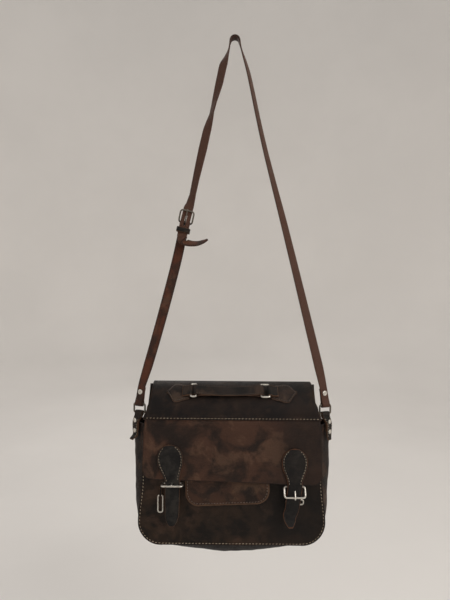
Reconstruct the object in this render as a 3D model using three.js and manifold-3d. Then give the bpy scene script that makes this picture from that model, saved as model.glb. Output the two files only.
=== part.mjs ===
// Leather satchel hanging by its shoulder strap.
// Millimetres, +Z up, -Y towards the viewer, +Y towards the wall.
// The origin is the point where the strap rests on its hook.
// Inside the file heights are counted from the lower edge of the front panel,
// and the finished group is lowered by HANG_HEIGHT.

import * as THREE from 'three';
import { mergeVertices } from 'three/addons/utils/BufferGeometryUtils.js';
import Module from 'manifold-3d';

const wasm = await Module();
wasm.setup();

// ---------- driving dimensions ----------
const HANG_HEIGHT = 940;      // hook above the lower edge of the front panel
const LEATHER = 2.5;          // bag panels and shoulder strap
const TRIM = 2.0;             // tabs, billets, patches, loops
const GAP = 0.3;              // clearance between pieces that touch
const FRONT_FACE = -44;       // outer face of the front panel
const BACK_FACE = 11.5;       // outer face of the back panel
const PANEL_TOP = 218;        // top edge of front panel and gusset
const BACK_TOP = 281;         // top edge of the back panel
const YOKE_TOP = 287;         // crown of the curved top
const SEAM = 231;             // where the yoke meets the flap
const FLAP_LOW = 120;         // lower edge of the flap at mid width
const FLAP_SLANT = -0.03;     // the lower edge drops to the right
const FLAP_HALF = 160;
const STRAP_WIDTH = 18;
const STRAP_END = 15.5;       // strap and tabs where they go round a side ring
const RING_X = 170;
const RING_Y = -30;
const RING_Z = 243.3;         // middle of the side rings
const RING_SPAN = 16.5;       // bar to bar, up and down
const WIRE = 1.6;             // wire radius of rings and buckles
const BILLET_WIDTH = 26;
const BUCKLE_WIDTH = 36.8;    // between wire centres
const BUCKLE_REACH = 18.8;    // heel bar to front bar
const HEEL_Y = -55.8;
const ADJUSTER = [-88, -15, 596];
const ADJUSTER_LEAN = 13;     // degrees off upright

// ---------- finishes ----------
const finish = (color, roughness, metalness = 0) =>
  new THREE.MeshStandardMaterial({ color, roughness, metalness });
const darkLeather = finish(0x33221b, 0.5);
const brownLeather = finish(0x4a2a1c, 0.5);
const strapLeather = finish(0x50281a, 0.5);
const blackLeather = finish(0x24201e, 0.45);
const bareMetal = finish(0xb9b4a8, 0.3, 1);
const darkMetal = finish(0x4b463e, 0.45, 1);

// ---------- geometry helpers ----------
const unit = (x, y, z) => new THREE.Vector3(x, y, z).normalize();
const mix = (a, b, t) => a + (b - a) * t;
const radians = THREE.MathUtils.degToRad;

// value of a table of [position, value] rows, eased between rows
function graded(rows, at) {
  if (at <= rows[0][0]) return rows[0][1];
  for (let i = 1; i < rows.length; i += 1) {
    const [x1, v1] = rows[i];
    const [x0, v0] = rows[i - 1];
    if (at <= x1) {
      const t = (at - x0) / (x1 - x0);
      return mix(v0, v1, t * t * (3 - 2 * t));
    }
  }
  return rows[rows.length - 1][1];
}

// a closed geometry with shared vertices and outward faces
function closed(geometry) {
  const bare = geometry.index ? geometry.clone() : geometry;
  bare.deleteAttribute('normal');
  bare.deleteAttribute('uv');
  const merged = mergeVertices(bare, 1e-4);
  const pos = merged.attributes.position;
  const index = Array.from(merged.index.array);
  const kept = [];
  for (let i = 0; i < index.length; i += 3) {
    const [a, b, c] = index.slice(i, i + 3);
    if (a !== b && b !== c && c !== a) kept.push(a, b, c);
  }
  let volume = 0;
  const [p, q, r] = [0, 0, 0].map(() => new THREE.Vector3());
  for (let i = 0; i < kept.length; i += 3) {
    p.fromBufferAttribute(pos, kept[i]);
    q.fromBufferAttribute(pos, kept[i + 1]);
    r.fromBufferAttribute(pos, kept[i + 2]);
    volume += p.dot(q.cross(r));
  }
  if (volume < 0) kept.reverse();
  merged.setIndex(kept);
  merged.computeVertexNormals();
  return merged;
}

// moves every vertex of a straight geometry to place(x, y, z)
function shaped(geometry, place) {
  const pos = geometry.attributes.position;
  for (let i = 0; i < pos.count; i += 1) {
    const v = place(pos.getX(i), pos.getY(i), pos.getZ(i));
    pos.setXYZ(i, v.x, v.y, v.z);
  }
  return closed(geometry);
}

// a curve through stops { p, side, width } with a frame at every place on it
function frames(stops) {
  const curve = new THREE.CatmullRomCurve3(
    stops.map((s) => new THREE.Vector3(...s.p)), false, 'centripetal');
  const last = stops.length - 1;
  return (t) => {
    const k = Math.min(Math.floor(t * last), last - 1);
    const w = t * last - k;
    const tangent = curve.getTangent(t);
    const side = new THREE.Vector3(...stops[k].side).lerp(new THREE.Vector3(...stops[k + 1].side), w);
    side.addScaledVector(tangent, -side.dot(tangent)).normalize();
    const normal = new THREE.Vector3().crossVectors(tangent, side);
    const width = mix(stops[k].width ?? 1, stops[k + 1].width ?? 1, w);
    return { p: curve.getPoint(t), side, normal, width };
  };
}

// a flat strip of leather along its stops
function ribbon(stops, thickness, { sub = 2, across = 1 } = {}) {
  const at = frames(stops);
  const strip = new THREE.BoxGeometry(1, 1, 1, across, 1, (stops.length - 1) * sub);
  return shaped(strip, (x, y, z) => {
    const f = at(z + 0.5);
    return f.p.addScaledVector(f.side, x * f.width).addScaledVector(f.normal, y * thickness);
  });
}

// a round wire along points, with closed ends
function wire(points, radius, { sub = 2, sides = 8, side = [1, 0, 0] } = {}) {
  const at = frames(points.map((p) => ({ p, side })));
  const rod = new THREE.CylinderGeometry(1, 1, 1, sides, (points.length - 1) * sub);
  return shaped(rod, (x, y, z) => {
    const f = at(y + 0.5);
    return f.p.addScaledVector(f.side, x * radius).addScaledVector(f.normal, z * radius);
  });
}

// a closed wire loop in the XZ plane, a rectangle with round corners
function wireLoop(width, height, corner, radius = WIRE) {
  const outline = new THREE.Path();
  const [w, h] = [width / 2, height / 2];
  outline.absarc(w - corner, h - corner, corner, 0, Math.PI / 2);
  outline.absarc(corner - w, h - corner, corner, Math.PI / 2, Math.PI);
  outline.absarc(corner - w, corner - h, corner, Math.PI, Math.PI * 1.5);
  outline.absarc(w - corner, corner - h, corner, Math.PI * 1.5, Math.PI * 2);
  outline.closePath();
  const ring = new THREE.TorusGeometry(10, 1, 6, 28);
  return shaped(ring, (x, y, z) => {
    const turn = (Math.atan2(y, x) / (2 * Math.PI) + 1) % 1;
    const p = outline.getPointAt(turn);
    const tangent = outline.getTangentAt(turn);
    const out = Math.hypot(x, y) - 10;
    return new THREE.Vector3(p.x + tangent.y * out * radius, z * radius, p.y - tangent.x * out * radius);
  });
}

// a leather sheet that spans x = -half(z)..half(z) and stands at y = face(x, z)
function sheet({ low, high, half, face, thickness, columns = 8, rows = 12, slant = 0 }) {
  const slab = new THREE.BoxGeometry(2, 1, 1, columns, 1, rows);
  return shaped(slab, (x, y, z) => {
    // rows lie closer together towards the rounded lower corners
    const height = mix(low, high, (z + 0.5) ** 1.6);
    const across = x * half(height);
    const drop = slant * across * (0.5 - z);
    return new THREE.Vector3(across, face(across, height) + y * thickness, height + drop);
  });
}

// a strip that leaves a bar, lies double, and is folded around the bar
// away: unit direction from the bar into the strip; side: along the bar
function foldedStops({ bar, away, side, reach, back, wireRadius, slack, thickness, width }) {
  const e = new THREE.Vector3(...away);
  const s = new THREE.Vector3(...side);
  const n = new THREE.Vector3().crossVectors(s, e).normalize();
  const turn = wireRadius + slack + thickness / 2;
  const apart = (thickness + GAP) / 2;
  const stop = (along, off) => ({
    p: new THREE.Vector3(...bar).addScaledVector(e, along).addScaledVector(n, off).toArray(),
    side,
    width,
  });
  const quarter = turn * Math.SQRT1_2;
  return [
    stop(back, apart),
    stop(turn * 2.4, apart),
    stop(turn * 1.1, mix(apart, turn, 0.6)),
    stop(0, turn),
    stop(-quarter, quarter),
    stop(-turn, 0),
    stop(-quarter, -quarter),
    stop(0, -turn),
    stop(turn * 1.1, -mix(apart, turn, 0.6)),
    stop(turn * 2.4, -apart),
    stop(reach, -apart),
  ];
}

// manifold booleans
function solid(geometry) {
  return new wasm.Manifold(new wasm.Mesh({
    numProp: 3,
    vertProperties: new Float32Array(geometry.attributes.position.array),
    triVerts: new Uint32Array(geometry.index.array),
  }));
}

function cut(geometry, tool) {
  const mesh = solid(geometry).subtract(solid(closed(tool))).getMesh();
  const result = new THREE.BufferGeometry();
  result.setAttribute('position', new THREE.BufferAttribute(mesh.vertProperties, 3));
  result.setIndex(new THREE.BufferAttribute(mesh.triVerts, 1));
  result.computeVertexNormals();
  return result;
}

const bag = new THREE.Group();

function add(name, geometry, material, { at = [0, 0, 0], turn = [0, 0, 0], into = bag } = {}) {
  const mesh = new THREE.Mesh(geometry, material);
  mesh.name = name;
  mesh.position.set(...at);
  mesh.rotation.set(...turn);
  into.add(mesh);
  return mesh;
}

// ---------- bag body ----------
const CORNER = 42;
function bodyHalf(z) {
  const straight = graded([[42, 169], [115, 163], [222, 162], [284, 157]], z);
  const rise = Math.min(Math.max(z, 0), CORNER);
  return straight - CORNER + Math.sqrt(CORNER ** 2 - (CORNER - rise) ** 2);
}

add('front_panel', sheet({
  low: 0, high: PANEL_TOP, half: bodyHalf, rows: 14, columns: 4,
  face: () => FRONT_FACE + LEATHER / 2, thickness: LEATHER,
}), darkLeather);
add('back_panel', sheet({
  low: 0, high: BACK_TOP, half: bodyHalf, rows: 16, columns: 4,
  face: () => BACK_FACE - LEATHER / 2, thickness: LEATHER,
}), darkLeather);

// the gusset follows the edge of the panels and bows outwards between them
const GUSSET_EDGE = [
  // across, height, bow
  [160.2, PANEL_TOP, 20], [160.6, 170, 18.5], [161.2, 115, 16], [165.5, 66, 10], [164.6, 42, 6.5],
  [159, 23, 5], [147, 10, 5], [128, 3.2, 7], [105, 1.8, 12], [60, 1.8, 20], [0, 1.8, 24],
];
function gusset() {
  const half = GUSSET_EDGE;
  const stops = [
    ...half.map(([x, z, bow]) => ({ p: [-x, bow, z] })),
    ...half.slice(0, -1).reverse().map(([x, z, bow]) => ({ p: [x, bow, z] })),
  ];
  const flat = new THREE.CatmullRomCurve3(stops.map((s) => new THREE.Vector3(s.p[0], 0, s.p[2])));
  const bows = new THREE.CatmullRomCurve3(stops.map((s) => new THREE.Vector3(...s.p)));
  const inner = FRONT_FACE + LEATHER + GAP;
  const outer = BACK_FACE - LEATHER - GAP;
  const slab = new THREE.BoxGeometry(1, 1, 1, 6, 1, 36);
  return shaped(slab, (x, y, z) => {
    const along = z + 0.5;
    const across = x + 0.5;
    const p = flat.getPoint(along);
    const tangent = flat.getTangent(along);
    const out = new THREE.Vector3(tangent.z, 0, -tangent.x);
    const bow = bows.getPoint(along).y * Math.sin(Math.PI * across);
    p.addScaledVector(out, bow + y * LEATHER);
    p.y = mix(inner, outer, across);
    return p;
  });
}
add('gusset', gusset(), darkLeather);

// ---------- front pocket ----------
const POCKET = { x: -7, low: 78, high: 164, half: 75, corner: 24, face: -57, lean: 0.076 };
function pocketHalf(z) {
  const rise = Math.min(Math.max(z - POCKET.low, 0), POCKET.corner);
  return POCKET.half - POCKET.corner + Math.sqrt(POCKET.corner ** 2 - (POCKET.corner - rise) ** 2);
}
const pocketFace = (z) => POCKET.face + (z - POCKET.low) * POCKET.lean;
const pocket = new THREE.Group();
pocket.position.set(POCKET.x, 0, POCKET.low);
pocket.rotation.y = radians(-2.4);
bag.add(pocket);
const inPocket = { at: [0, 0, -POCKET.low], into: pocket };
add('pocket_panel', sheet({
  low: POCKET.low, high: POCKET.high, half: pocketHalf, rows: 10, columns: 6,
  face: (x, z) => pocketFace(z) + TRIM / 2, thickness: TRIM,
}), brownLeather, inPocket);

function pocketWall() {
  const { half, corner, low, high } = POCKET;
  const edge = new THREE.Path();
  edge.moveTo(-half + 1.2, high);
  edge.lineTo(-half + 1.2, low + corner);
  edge.absarc(corner - half, low + corner, corner - 1.2, Math.PI, Math.PI * 1.5);
  edge.lineTo(half - corner, low + 1.2);
  edge.absarc(half - corner, low + corner, corner - 1.2, -Math.PI / 2, 0);
  edge.lineTo(half - 1.2, high);
  const back = FRONT_FACE - GAP;
  const slab = new THREE.BoxGeometry(1, 1, 1, 1, 1, 36);
  return shaped(slab, (x, y, z) => {
    const p = edge.getPointAt(z + 0.5);
    const tangent = edge.getTangentAt(z + 0.5);
    const front = pocketFace(p.y) + TRIM + GAP;
    return new THREE.Vector3(p.x + tangent.y * y * TRIM, mix(front, back, x + 0.5), p.y - tangent.x * y * TRIM);
  });
}
add('pocket_gusset', pocketWall(), brownLeather, inPocket);

// ---------- curved top (yoke) and flap ----------
const YOKE_DEPTH = 58;
const HINGE_Y = 8;
const YOKE_SKIRT = 4;         // straight bit below the curve
function yoke() {
  const rise = YOKE_TOP - SEAM;
  const slab = new THREE.BoxGeometry(2, 1, 1, 8, 1, 14);
  return shaped(slab, (x, y, z) => {
    const t = (z + 0.5) * Math.PI / 2;
    const straight = z > 0.49 ? YOKE_SKIRT : 0;
    const normal = new THREE.Vector2(-Math.sin(t) * rise, Math.cos(t) * YOKE_DEPTH).normalize();
    const depth = LEATHER / 2 - y * LEATHER;
    const height = SEAM + rise * Math.cos(t) - straight;
    const across = x * graded([[231, 159.5], [246, 154], [262, 149]], height);
    return new THREE.Vector3(
      across, HINGE_Y - YOKE_DEPTH * Math.sin(t) - normal.x * depth, height - normal.y * depth);
  });
}
add('yoke', yoke(), darkLeather);

// the flap bends at the edge of the yoke, about a line on its outer face
const FLAP_TOP = SEAM - YOKE_SKIRT - GAP;
const FLAP_TOP_FACE = HINGE_Y - YOKE_DEPTH;
const FLAP_LEAN = 0.096;
const FLAP_CORNER = 18;
const flapFace = (z) => FLAP_TOP_FACE - (FLAP_TOP - z) * FLAP_LEAN;
function flapHalf(z) {
  const rise = Math.min(Math.max(z - FLAP_LOW, 0), FLAP_CORNER);
  const rounded = FLAP_CORNER - Math.sqrt(FLAP_CORNER ** 2 - (FLAP_CORNER - rise) ** 2);
  return graded([[140, FLAP_HALF], [200, FLAP_HALF], [FLAP_TOP, FLAP_HALF - 2.5]], z) - rounded;
}
add('flap', sheet({
  low: FLAP_LOW, high: FLAP_TOP, half: flapHalf, rows: 12, slant: FLAP_SLANT,
  face: (x, z) => flapFace(z) + LEATHER / 2, thickness: LEATHER,
}), brownLeather);

// ---------- billets, buckles, chapes, keeper rings ----------
const CLOSURES = [
  { name: 'left', top: [-113, 184], heel: [-105, 116.5], tip: [-106, 43], curl: 4, swing: 95,
    ring: { x: -128, z: 76.5, upright: true } },
  { name: 'right', top: [111, 179], heel: [111, 112], tip: [102.5, 46], curl: 12, swing: 29,
    ring: { x: 113, z: 81, upright: false } },
];

function billet({ top, heel, tip, curl }) {
  const [topX, topZ] = top;
  const [heelX, heelZ] = heel;
  const [tipX, tipZ] = tip;
  const side = [1, 0, 0];
  const onFlap = (z) => flapFace(z) - 0.7 - TRIM / 2;
  const threaded = HEEL_Y - 6.1;
  const stop = (x, y, z, width) => ({ p: [x, y, z], side, width });
  const drop = topZ - heelZ;
  const upper = [[0, 8], [0.05, 24], [0.13, 36], [0.24, 44], [0.38, 46], [0.54, 42], [0.7, 33], [0.85, BILLET_WIDTH]]
    .map(([k, width]) => stop(mix(topX, heelX, k), onFlap(topZ - k * drop), topZ - k * drop, width));
  return [
    ...upper,
    stop(heelX, threaded, heelZ, BILLET_WIDTH),
    stop(mix(heelX, tipX, 0.25), threaded, heelZ - 16, BILLET_WIDTH),
    stop(mix(heelX, tipX, 0.6), threaded + 2, mix(heelZ, tipZ, 0.6), BILLET_WIDTH - 1),
    stop(tipX, threaded + 2, tipZ + 16, BILLET_WIDTH - 2),
    stop(tipX, threaded + 2 - curl * 0.4, tipZ + 7, BILLET_WIDTH - 7),
    stop(tipX, threaded + 2 - curl, tipZ, 8),
  ];
}

for (const closure of CLOSURES) {
  const { name, heel, swing } = closure;
  const [heelX, heelZ] = heel;
  const slot = new THREE.BoxGeometry(4.6, 14, 17).translate(heelX, HEEL_Y - 6, heelZ - 1.5);
  add(`${name}_billet`, cut(ribbon(billet(closure), TRIM, { across: 2 }), slot), blackLeather);

  // the chape is sewn on the front panel, runs down under the flap and holds the heel bar
  const away = unit(0, 9, 38).toArray();
  const folded = foldedStops({
    bar: [heelX, HEEL_Y, heelZ], away, side: [1, 0, 0], reach: 39, back: 39,
    wireRadius: WIRE, slack: 0.5, thickness: 1.5, width: 24,
  });
  const eye = new THREE.BoxGeometry(5, 16, 13).translate(heelX, HEEL_Y, heelZ + 1.5);
  add(`${name}_chape`, cut(ribbon(folded, 1.5), eye), blackLeather);

  // frame and prong turn about the heel bar; swing is measured from hanging straight down
  const pivot = new THREE.Group();
  pivot.position.set(heelX, HEEL_Y, heelZ);
  pivot.rotation.x = radians(-swing);
  bag.add(pivot);
  const frame = wireLoop(BUCKLE_WIDTH, BUCKLE_REACH, 4);
  add(`${name}_buckle_frame`, frame, bareMetal, { at: [0, 0, -BUCKLE_REACH / 2], into: pivot });
  const hook = 3.15;
  const prong = [
    [0, hook, -1], [0, hook * 0.8, hook * 0.6], [0, 0, hook], [0, -hook * 0.8, hook * 0.6],
    [0, -hook, -1], [0, -hook, -8], [0, -hook, -BUCKLE_REACH], [0, -hook + 0.6, -BUCKLE_REACH - 3.4],
  ];
  add(`${name}_buckle_prong`, wire(prong, 1.2), bareMetal, { into: pivot });

  // wire keeper ring on its small tab
  const { x, z, upright } = closure.ring;
  const [wide, tall] = upright ? [8.6, 30.6] : [30.6, 8.6];
  const ringY = FRONT_FACE - 4.4;
  add(`${name}_keeper_ring`, wireLoop(wide, tall, 3.5, 1.2), bareMetal, { at: [x, ringY, z] });
  const tabWidth = upright ? 4 : 14;
  add(`${name}_keeper_tab`, ribbon(foldedStops({
    bar: [x, ringY, z + tall / 2], away: unit(0, 1, 6).toArray(), side: [1, 0, 0], reach: 15, back: 15,
    wireRadius: 1.2, slack: 0.6, thickness: 1, width: tabWidth,
  }), 1), blackLeather);
}

// ---------- handle ----------
// the handle lies on the yoke: its own frame has +X along the handle and +Z away from the leather
const HANDLE_SLOPE = 42;      // degrees round the yoke
const handleAnchor = new THREE.Group();
{
  const t = radians(HANDLE_SLOPE);
  const rise = YOKE_TOP - SEAM;
  handleAnchor.position.set(0, HINGE_Y - YOKE_DEPTH * Math.sin(t), SEAM + rise * Math.cos(t));
  const slope = Math.atan2(Math.sin(t) * rise, Math.cos(t) * YOKE_DEPTH);
  handleAnchor.rotation.x = slope;
}
bag.add(handleAnchor);
const YOKE_RADIUS = 57;
const onYoke = (x, v, lift) => {
  const turn = v / YOKE_RADIUS;
  return new THREE.Vector3(x, Math.sin(turn) * (YOKE_RADIUS + lift), (YOKE_RADIUS + lift) * Math.cos(turn) - YOKE_RADIUS);
};

const HANDLE = { width: 22, lift: 6.2, leftBar: -66, rightBar: 52 };
const HANDLE_RINGS = [
  { name: 'left', sign: -1, bar: HANDLE.leftBar, span: 9.5, point: -120, edge: -78 },
  { name: 'right', sign: 1, bar: HANDLE.rightBar, span: 15, point: 118, edge: 71 },
];
for (const { name, sign, bar, span, point, edge } of HANDLE_RINGS) {
  const outerBar = bar + sign * span;
  // shield-shaped patch, pointed away from the handle, bent round the yoke
  const patch = new THREE.BoxGeometry(1, 1, 1, 8, 6, 1);
  add(`${name}_handle_patch`, shaped(patch, (x, y, z) => {
    const along = mix(edge, point, sign * x + 0.5);
    const k = (along - edge) / (point - edge);
    const half = graded([[0, 14], [0.3, 17], [0.5, 20], [0.62, 20], [1, 3]], k);
    return onYoke(along, y * 2 * half, GAP + TRIM / 2 + z * TRIM);
  }), darkLeather, { into: handleAnchor });

  // loop that joins the patch to the ring
  const loop = foldedStops({
    bar: [outerBar, 0, HANDLE.lift], away: unit(sign, 0, -0.12).toArray(), side: [0, 1, 0], reach: 16, back: 16,
    wireRadius: WIRE, slack: 0.5, thickness: 1.2, width: HANDLE.width,
  });
  add(`${name}_handle_loop`, ribbon(loop, 1.2), darkLeather, { into: handleAnchor });
  const ring = wireLoop(27.5, span, 2.5);
  const middle = (bar + outerBar) / 2;
  const stand = new THREE.Group();
  stand.position.set(middle, 0, HANDLE.lift);
  stand.rotation.set(Math.PI / 2, 0, 0);
  handleAnchor.add(stand);
  add(`${name}_handle_ring`, ring, bareMetal, { into: stand, turn: [0, Math.PI / 2, 0] });
}

// the handle strap folds round both inner bars; each closed end leaves play for lifting
function handleStrap() {
  const { lift, width, leftBar, rightBar } = HANDLE;
  const r = WIRE + 0.6 + TRIM / 2;
  const play = 1;
  const stop = (x, z, v = 0) => ({ p: [x, v, lift + z], side: [0, 1, 0], width });
  // half of the strap from one fold's tucked end to its upper side; sign points away from the middle
  const fold = (bar, sign) => [
    stop(bar - sign * 26, -1.2),
    stop(bar - sign * 9, -1.2),
    stop(bar - sign * 3, -r * 0.9),
    stop(bar, -r),
    stop(bar + sign * (play + r * 0.72), -r * 0.72),
    stop(bar + sign * (play + r), 0),
    stop(bar + sign * (play + r * 0.72), r * 0.72),
    stop(bar, r),
    stop(bar - sign * 4, r * 0.95),
    stop(bar - sign * 12, 1.8),
    stop(bar - sign * 30, 1.4, -1),
  ];
  return [
    ...fold(leftBar, -1),
    stop((leftBar + rightBar) / 2, 1.6, -2.2),
    ...fold(rightBar, 1).reverse(),
  ];
}
add('handle_strap', ribbon(handleStrap(), TRIM), blackLeather, { into: handleAnchor });

// ---------- side rings and side tabs ----------
const RING_TURN = 20;         // degrees that the rings face outwards
const SIDES = [{ name: 'left', sign: -1 }, { name: 'right', sign: 1 }];
const facing = (sign, degrees) => [Math.cos(radians(degrees)), sign * Math.sin(radians(degrees)), 0];

function cap(radius, height) {
  const profile = [[0, 0], [radius, 0], [radius, height * 0.45], [radius * 0.72, height * 0.85], [0, height]];
  return closed(new THREE.LatheGeometry(profile.map(([x, y]) => new THREE.Vector2(x, y)), 14));
}

// a rivet head on a surface whose outward direction is (nx, ny) in plan
function rivet(name, position, [nx, ny], radius, material) {
  const mesh = add(name, cap(radius, 2), material, { at: position });
  mesh.quaternion.setFromUnitVectors(unit(0, 1, 0), unit(nx, ny, 0));
}

for (const { name, sign } of SIDES) {
  const barX = sign * RING_X;
  add(`${name}_side_ring`, wireLoop(22.4, RING_SPAN, 3.2), darkMetal, {
    at: [barX, RING_Y, RING_Z], turn: [0, 0, sign * radians(RING_TURN)],
  });

  // the tab hangs on the lower bar, twists onto the slope of the gusset and is riveted there
  const low = RING_Z - RING_SPAN / 2;
  const turnRadius = WIRE + 0.9 + TRIM / 2;
  const apart = (TRIM + GAP) / 2;
  const core = [
    // height, across, depth, facing
    [low, 170, -30, 20], [low - 4, 170.8, -30.6, 22], [low - 9, 173, -32, 33], [low - 16, 175.7, -34.3, 45],
    [low - 30, 175.7, -34.3, 45], [low - 39, 175.6, -34.2, 45],
  ];
  const layer = (row, off, width = STRAP_END) => {
    const [z, x, y, turn] = row;
    const out = [Math.sin(radians(turn)) * sign, -Math.cos(radians(turn))];
    return { p: [sign * x + out[0] * off, y + out[1] * off, z], side: facing(sign, turn), width };
  };
  const quarter = turnRadius * Math.SQRT1_2;
  const over = (rise, off) => layer([low + rise, 170, -30, 20], off);
  const flare = name === 'left' ? 9 : 1.5;
  const outerTip = [low - 46, 175.6 + flare * 0.7, -34.2 - flare * 0.7, 45];
  const stops = [
    layer(core[4], -apart),
    layer(core[3], -apart),
    layer(core[2], -apart - 0.5),
    layer(core[1], -apart - 1.4),
    over(0, -turnRadius),
    over(quarter, -quarter),
    over(turnRadius, 0),
    over(quarter, quarter),
    over(0, turnRadius),
    layer(core[1], apart + 1.4),
    layer(core[2], apart + 0.5),
    layer(core[3], apart),
    layer(core[4], apart),
    layer(core[5], apart, STRAP_END - 1),
    layer(outerTip, apart, STRAP_END - 6),
  ];
  add(`${name}_side_tab`, ribbon(stops, TRIM), blackLeather);
  const faceOff = apart + TRIM / 2 + 0.05;
  [['upper', low - 12.5, 174.4, -33.2, 39], ['lower', low - 31, 175.7, -34.3, 45]].forEach(
    ([place, z, x, y, turn]) => {
      const out = [Math.sin(radians(turn)) * sign, -Math.cos(radians(turn))];
      const off = faceOff + (place === 'upper' ? 2.1 : 0.25);
      rivet(`${name}_tab_rivet_${place}`, [sign * x + out[0] * off, y + out[1] * off, z], out, 4, bareMetal);
    });
}

// ---------- shoulder strap ----------
const barTop = RING_Z + RING_SPAN / 2;
const APEX_RADIUS = 8.9;      // middle of the strap round the hook
const facingStop = (x, y, z, turn, width = STRAP_WIDTH) => ({
  p: [x, y, z], side: [Math.cos(radians(turn)), Math.sin(radians(turn)), 0], width,
});

// end that is folded round the upper bar of a side ring; starts at the free end behind
function strapEnd(sign) {
  const turn = WIRE + 0.9 + LEATHER / 2;
  const apart = (LEATHER + GAP) / 2;
  const angle = sign * RING_TURN;
  const back = [-Math.sin(radians(angle)), Math.cos(radians(angle))];
  const q = turn * Math.SQRT1_2;
  const at = (x, y, z, off, facingAngle) => facingStop(
    sign * x + back[0] * off, y + back[1] * off, z, sign * facingAngle, STRAP_END);
  return [
    at(166.2, -28.6, barTop + 30, apart, 26),
    at(167.6, -29, barTop + 21, apart, 24),
    at(169, -29.5, barTop + 10, apart + 0.4, 21),
    at(170, -30, barTop + 4, apart + 1.3, 20),
    at(170, -30, barTop, turn, 20),
    at(170, -30, barTop - q, q, 20),
    at(170, -30, barTop - turn, 0, 20),
    at(170, -30, barTop - q, -q, 20),
    at(170, -30, barTop, -turn, 20),
    at(170, -30, barTop + 4, -apart - 1.3, 20),
    at(169, -29.5, barTop + 10, -apart - 0.4, 21),
    at(167.6, -29, barTop + 21, -apart, 24),
    at(166.2, -28.6, barTop + 30, -apart, 26),
  ];
}

// the adjuster sits on the left arm in a frame that leans with the strap
const lean = radians(ADJUSTER_LEAN);
const adjuster = new THREE.Group();
adjuster.position.set(...ADJUSTER);
adjuster.rotation.y = lean;
bag.add(adjuster);
const inAdjuster = (x, y, z) => [
  ADJUSTER[0] + x * Math.cos(lean) + z * Math.sin(lean),
  ADJUSTER[1] + y,
  ADJUSTER[2] - x * Math.sin(lean) + z * Math.cos(lean),
];
const across = [Math.cos(lean), 0, -Math.sin(lean)];
const HALF_ADJUSTER = 11.5;
const RUN_FACE = -6.1;        // middle of the long strap where it passes the heel bar

function longStrap() {
  const arc = (degrees) => facingStop(
    Math.cos(radians(degrees)) * APEX_RADIUS, 0, HANG_HEIGHT - 7.65 + Math.sin(radians(degrees)) * APEX_RADIUS, 90);
  const passing = (y, z, width = STRAP_WIDTH) => ({ p: inAdjuster(0, y, z), side: across.map((c) => -c), width });
  return [
    ...strapEnd(1),
    facingStop(158.8, -27.8, 318, 20),
    facingStop(144, -24.6, 380, 24),
    facingStop(117, -19, 492, 34),
    facingStop(92, -13.6, 594, 42),
    facingStop(75, -10.5, 660, 50),
    facingStop(58.4, -7.6, 726, 56),
    facingStop(44.4, -5.2, 788, 60),
    facingStop(34, -3.4, 838, 62),
    facingStop(25.5, -2, 876, 64),
    facingStop(18, -0.9, 902, 70),
    facingStop(12, -0.2, 921, 80),
    arc(10), arc(50), arc(90), arc(130), arc(170),
    facingStop(-11.2, -0.3, 921, 98),
    facingStop(-15.5, -0.8, 907, 116),
    facingStop(-21.4, -1.6, 889, 150),
    facingStop(-29.6, -3, 850.5, 146),
    facingStop(-38.4, -4.6, 814, 122),
    facingStop(-42.8, -5.4, 795, 118),
    facingStop(-51, -6.4, 763, 152),
    facingStop(-59, -8, 726, 158),
    facingStop(-71.6, -10.6, 667, 138),
    facingStop(-77, -11.6, 640, 134),
    facingStop(-81.2, -13.2, 623, 152),
    passing(-1.7, 18),
    passing(-2.9, HALF_ADJUSTER),
    passing(-4.6, 0),
    passing(RUN_FACE, -HALF_ADJUSTER),
    passing(RUN_FACE + 0.4, -20),
    passing(RUN_FACE + 0.6, -29),
    { p: [-95.5, -23, 559], side: [-0.95, 0.1, 0.25], width: STRAP_WIDTH },
    { p: [-92, -28, 550], side: [-0.7, 0.5, 0.5], width: STRAP_WIDTH },
    { p: [-82, -32, 545.5], side: [-0.2, 0.75, 0.65], width: STRAP_WIDTH },
    { p: [-67, -33, 545], side: [0, 0.8, 0.6], width: STRAP_WIDTH - 2 },
    { p: [-55, -31, 549], side: [0, 0.8, 0.6], width: STRAP_WIDTH - 7 },
    { p: [-48, -29, 553], side: [0, 0.8, 0.6], width: 5 },
  ];
}
const adjusterSlot = new THREE.BoxGeometry(4.4, 12, 19).rotateY(lean)
  .translate(...inAdjuster(0, -4.6, -7));
add('long_strap', cut(ribbon(longStrap(), LEATHER), adjusterSlot), strapLeather);

function shortStrap() {
  const bar = inAdjuster(0, 0, -HALF_ADJUSTER);
  const away = [-Math.sin(lean), 0, -Math.cos(lean)];
  const fold = foldedStops({
    bar, away, side: across, reach: 24, back: 24,
    wireRadius: 1.5, slack: 0.5, thickness: LEATHER, width: STRAP_WIDTH,
  });
  return [
    ...fold.reverse(),
    facingStop(-104.5, -18.5, 518, 4),
    facingStop(-118.5, -20.6, 460, 8),
    facingStop(-139, -24.8, 380, -6),
    facingStop(-155.5, -27.9, 320, -14),
    ...strapEnd(-1).reverse(),
  ];
}
const foldEye = new THREE.BoxGeometry(4.4, 14, 15).rotateY(lean)
  .translate(...inAdjuster(0, 0, -HALF_ADJUSTER - 0.5));
add('short_strap', cut(ribbon(shortStrap(), LEATHER), foldEye), strapLeather);

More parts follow.
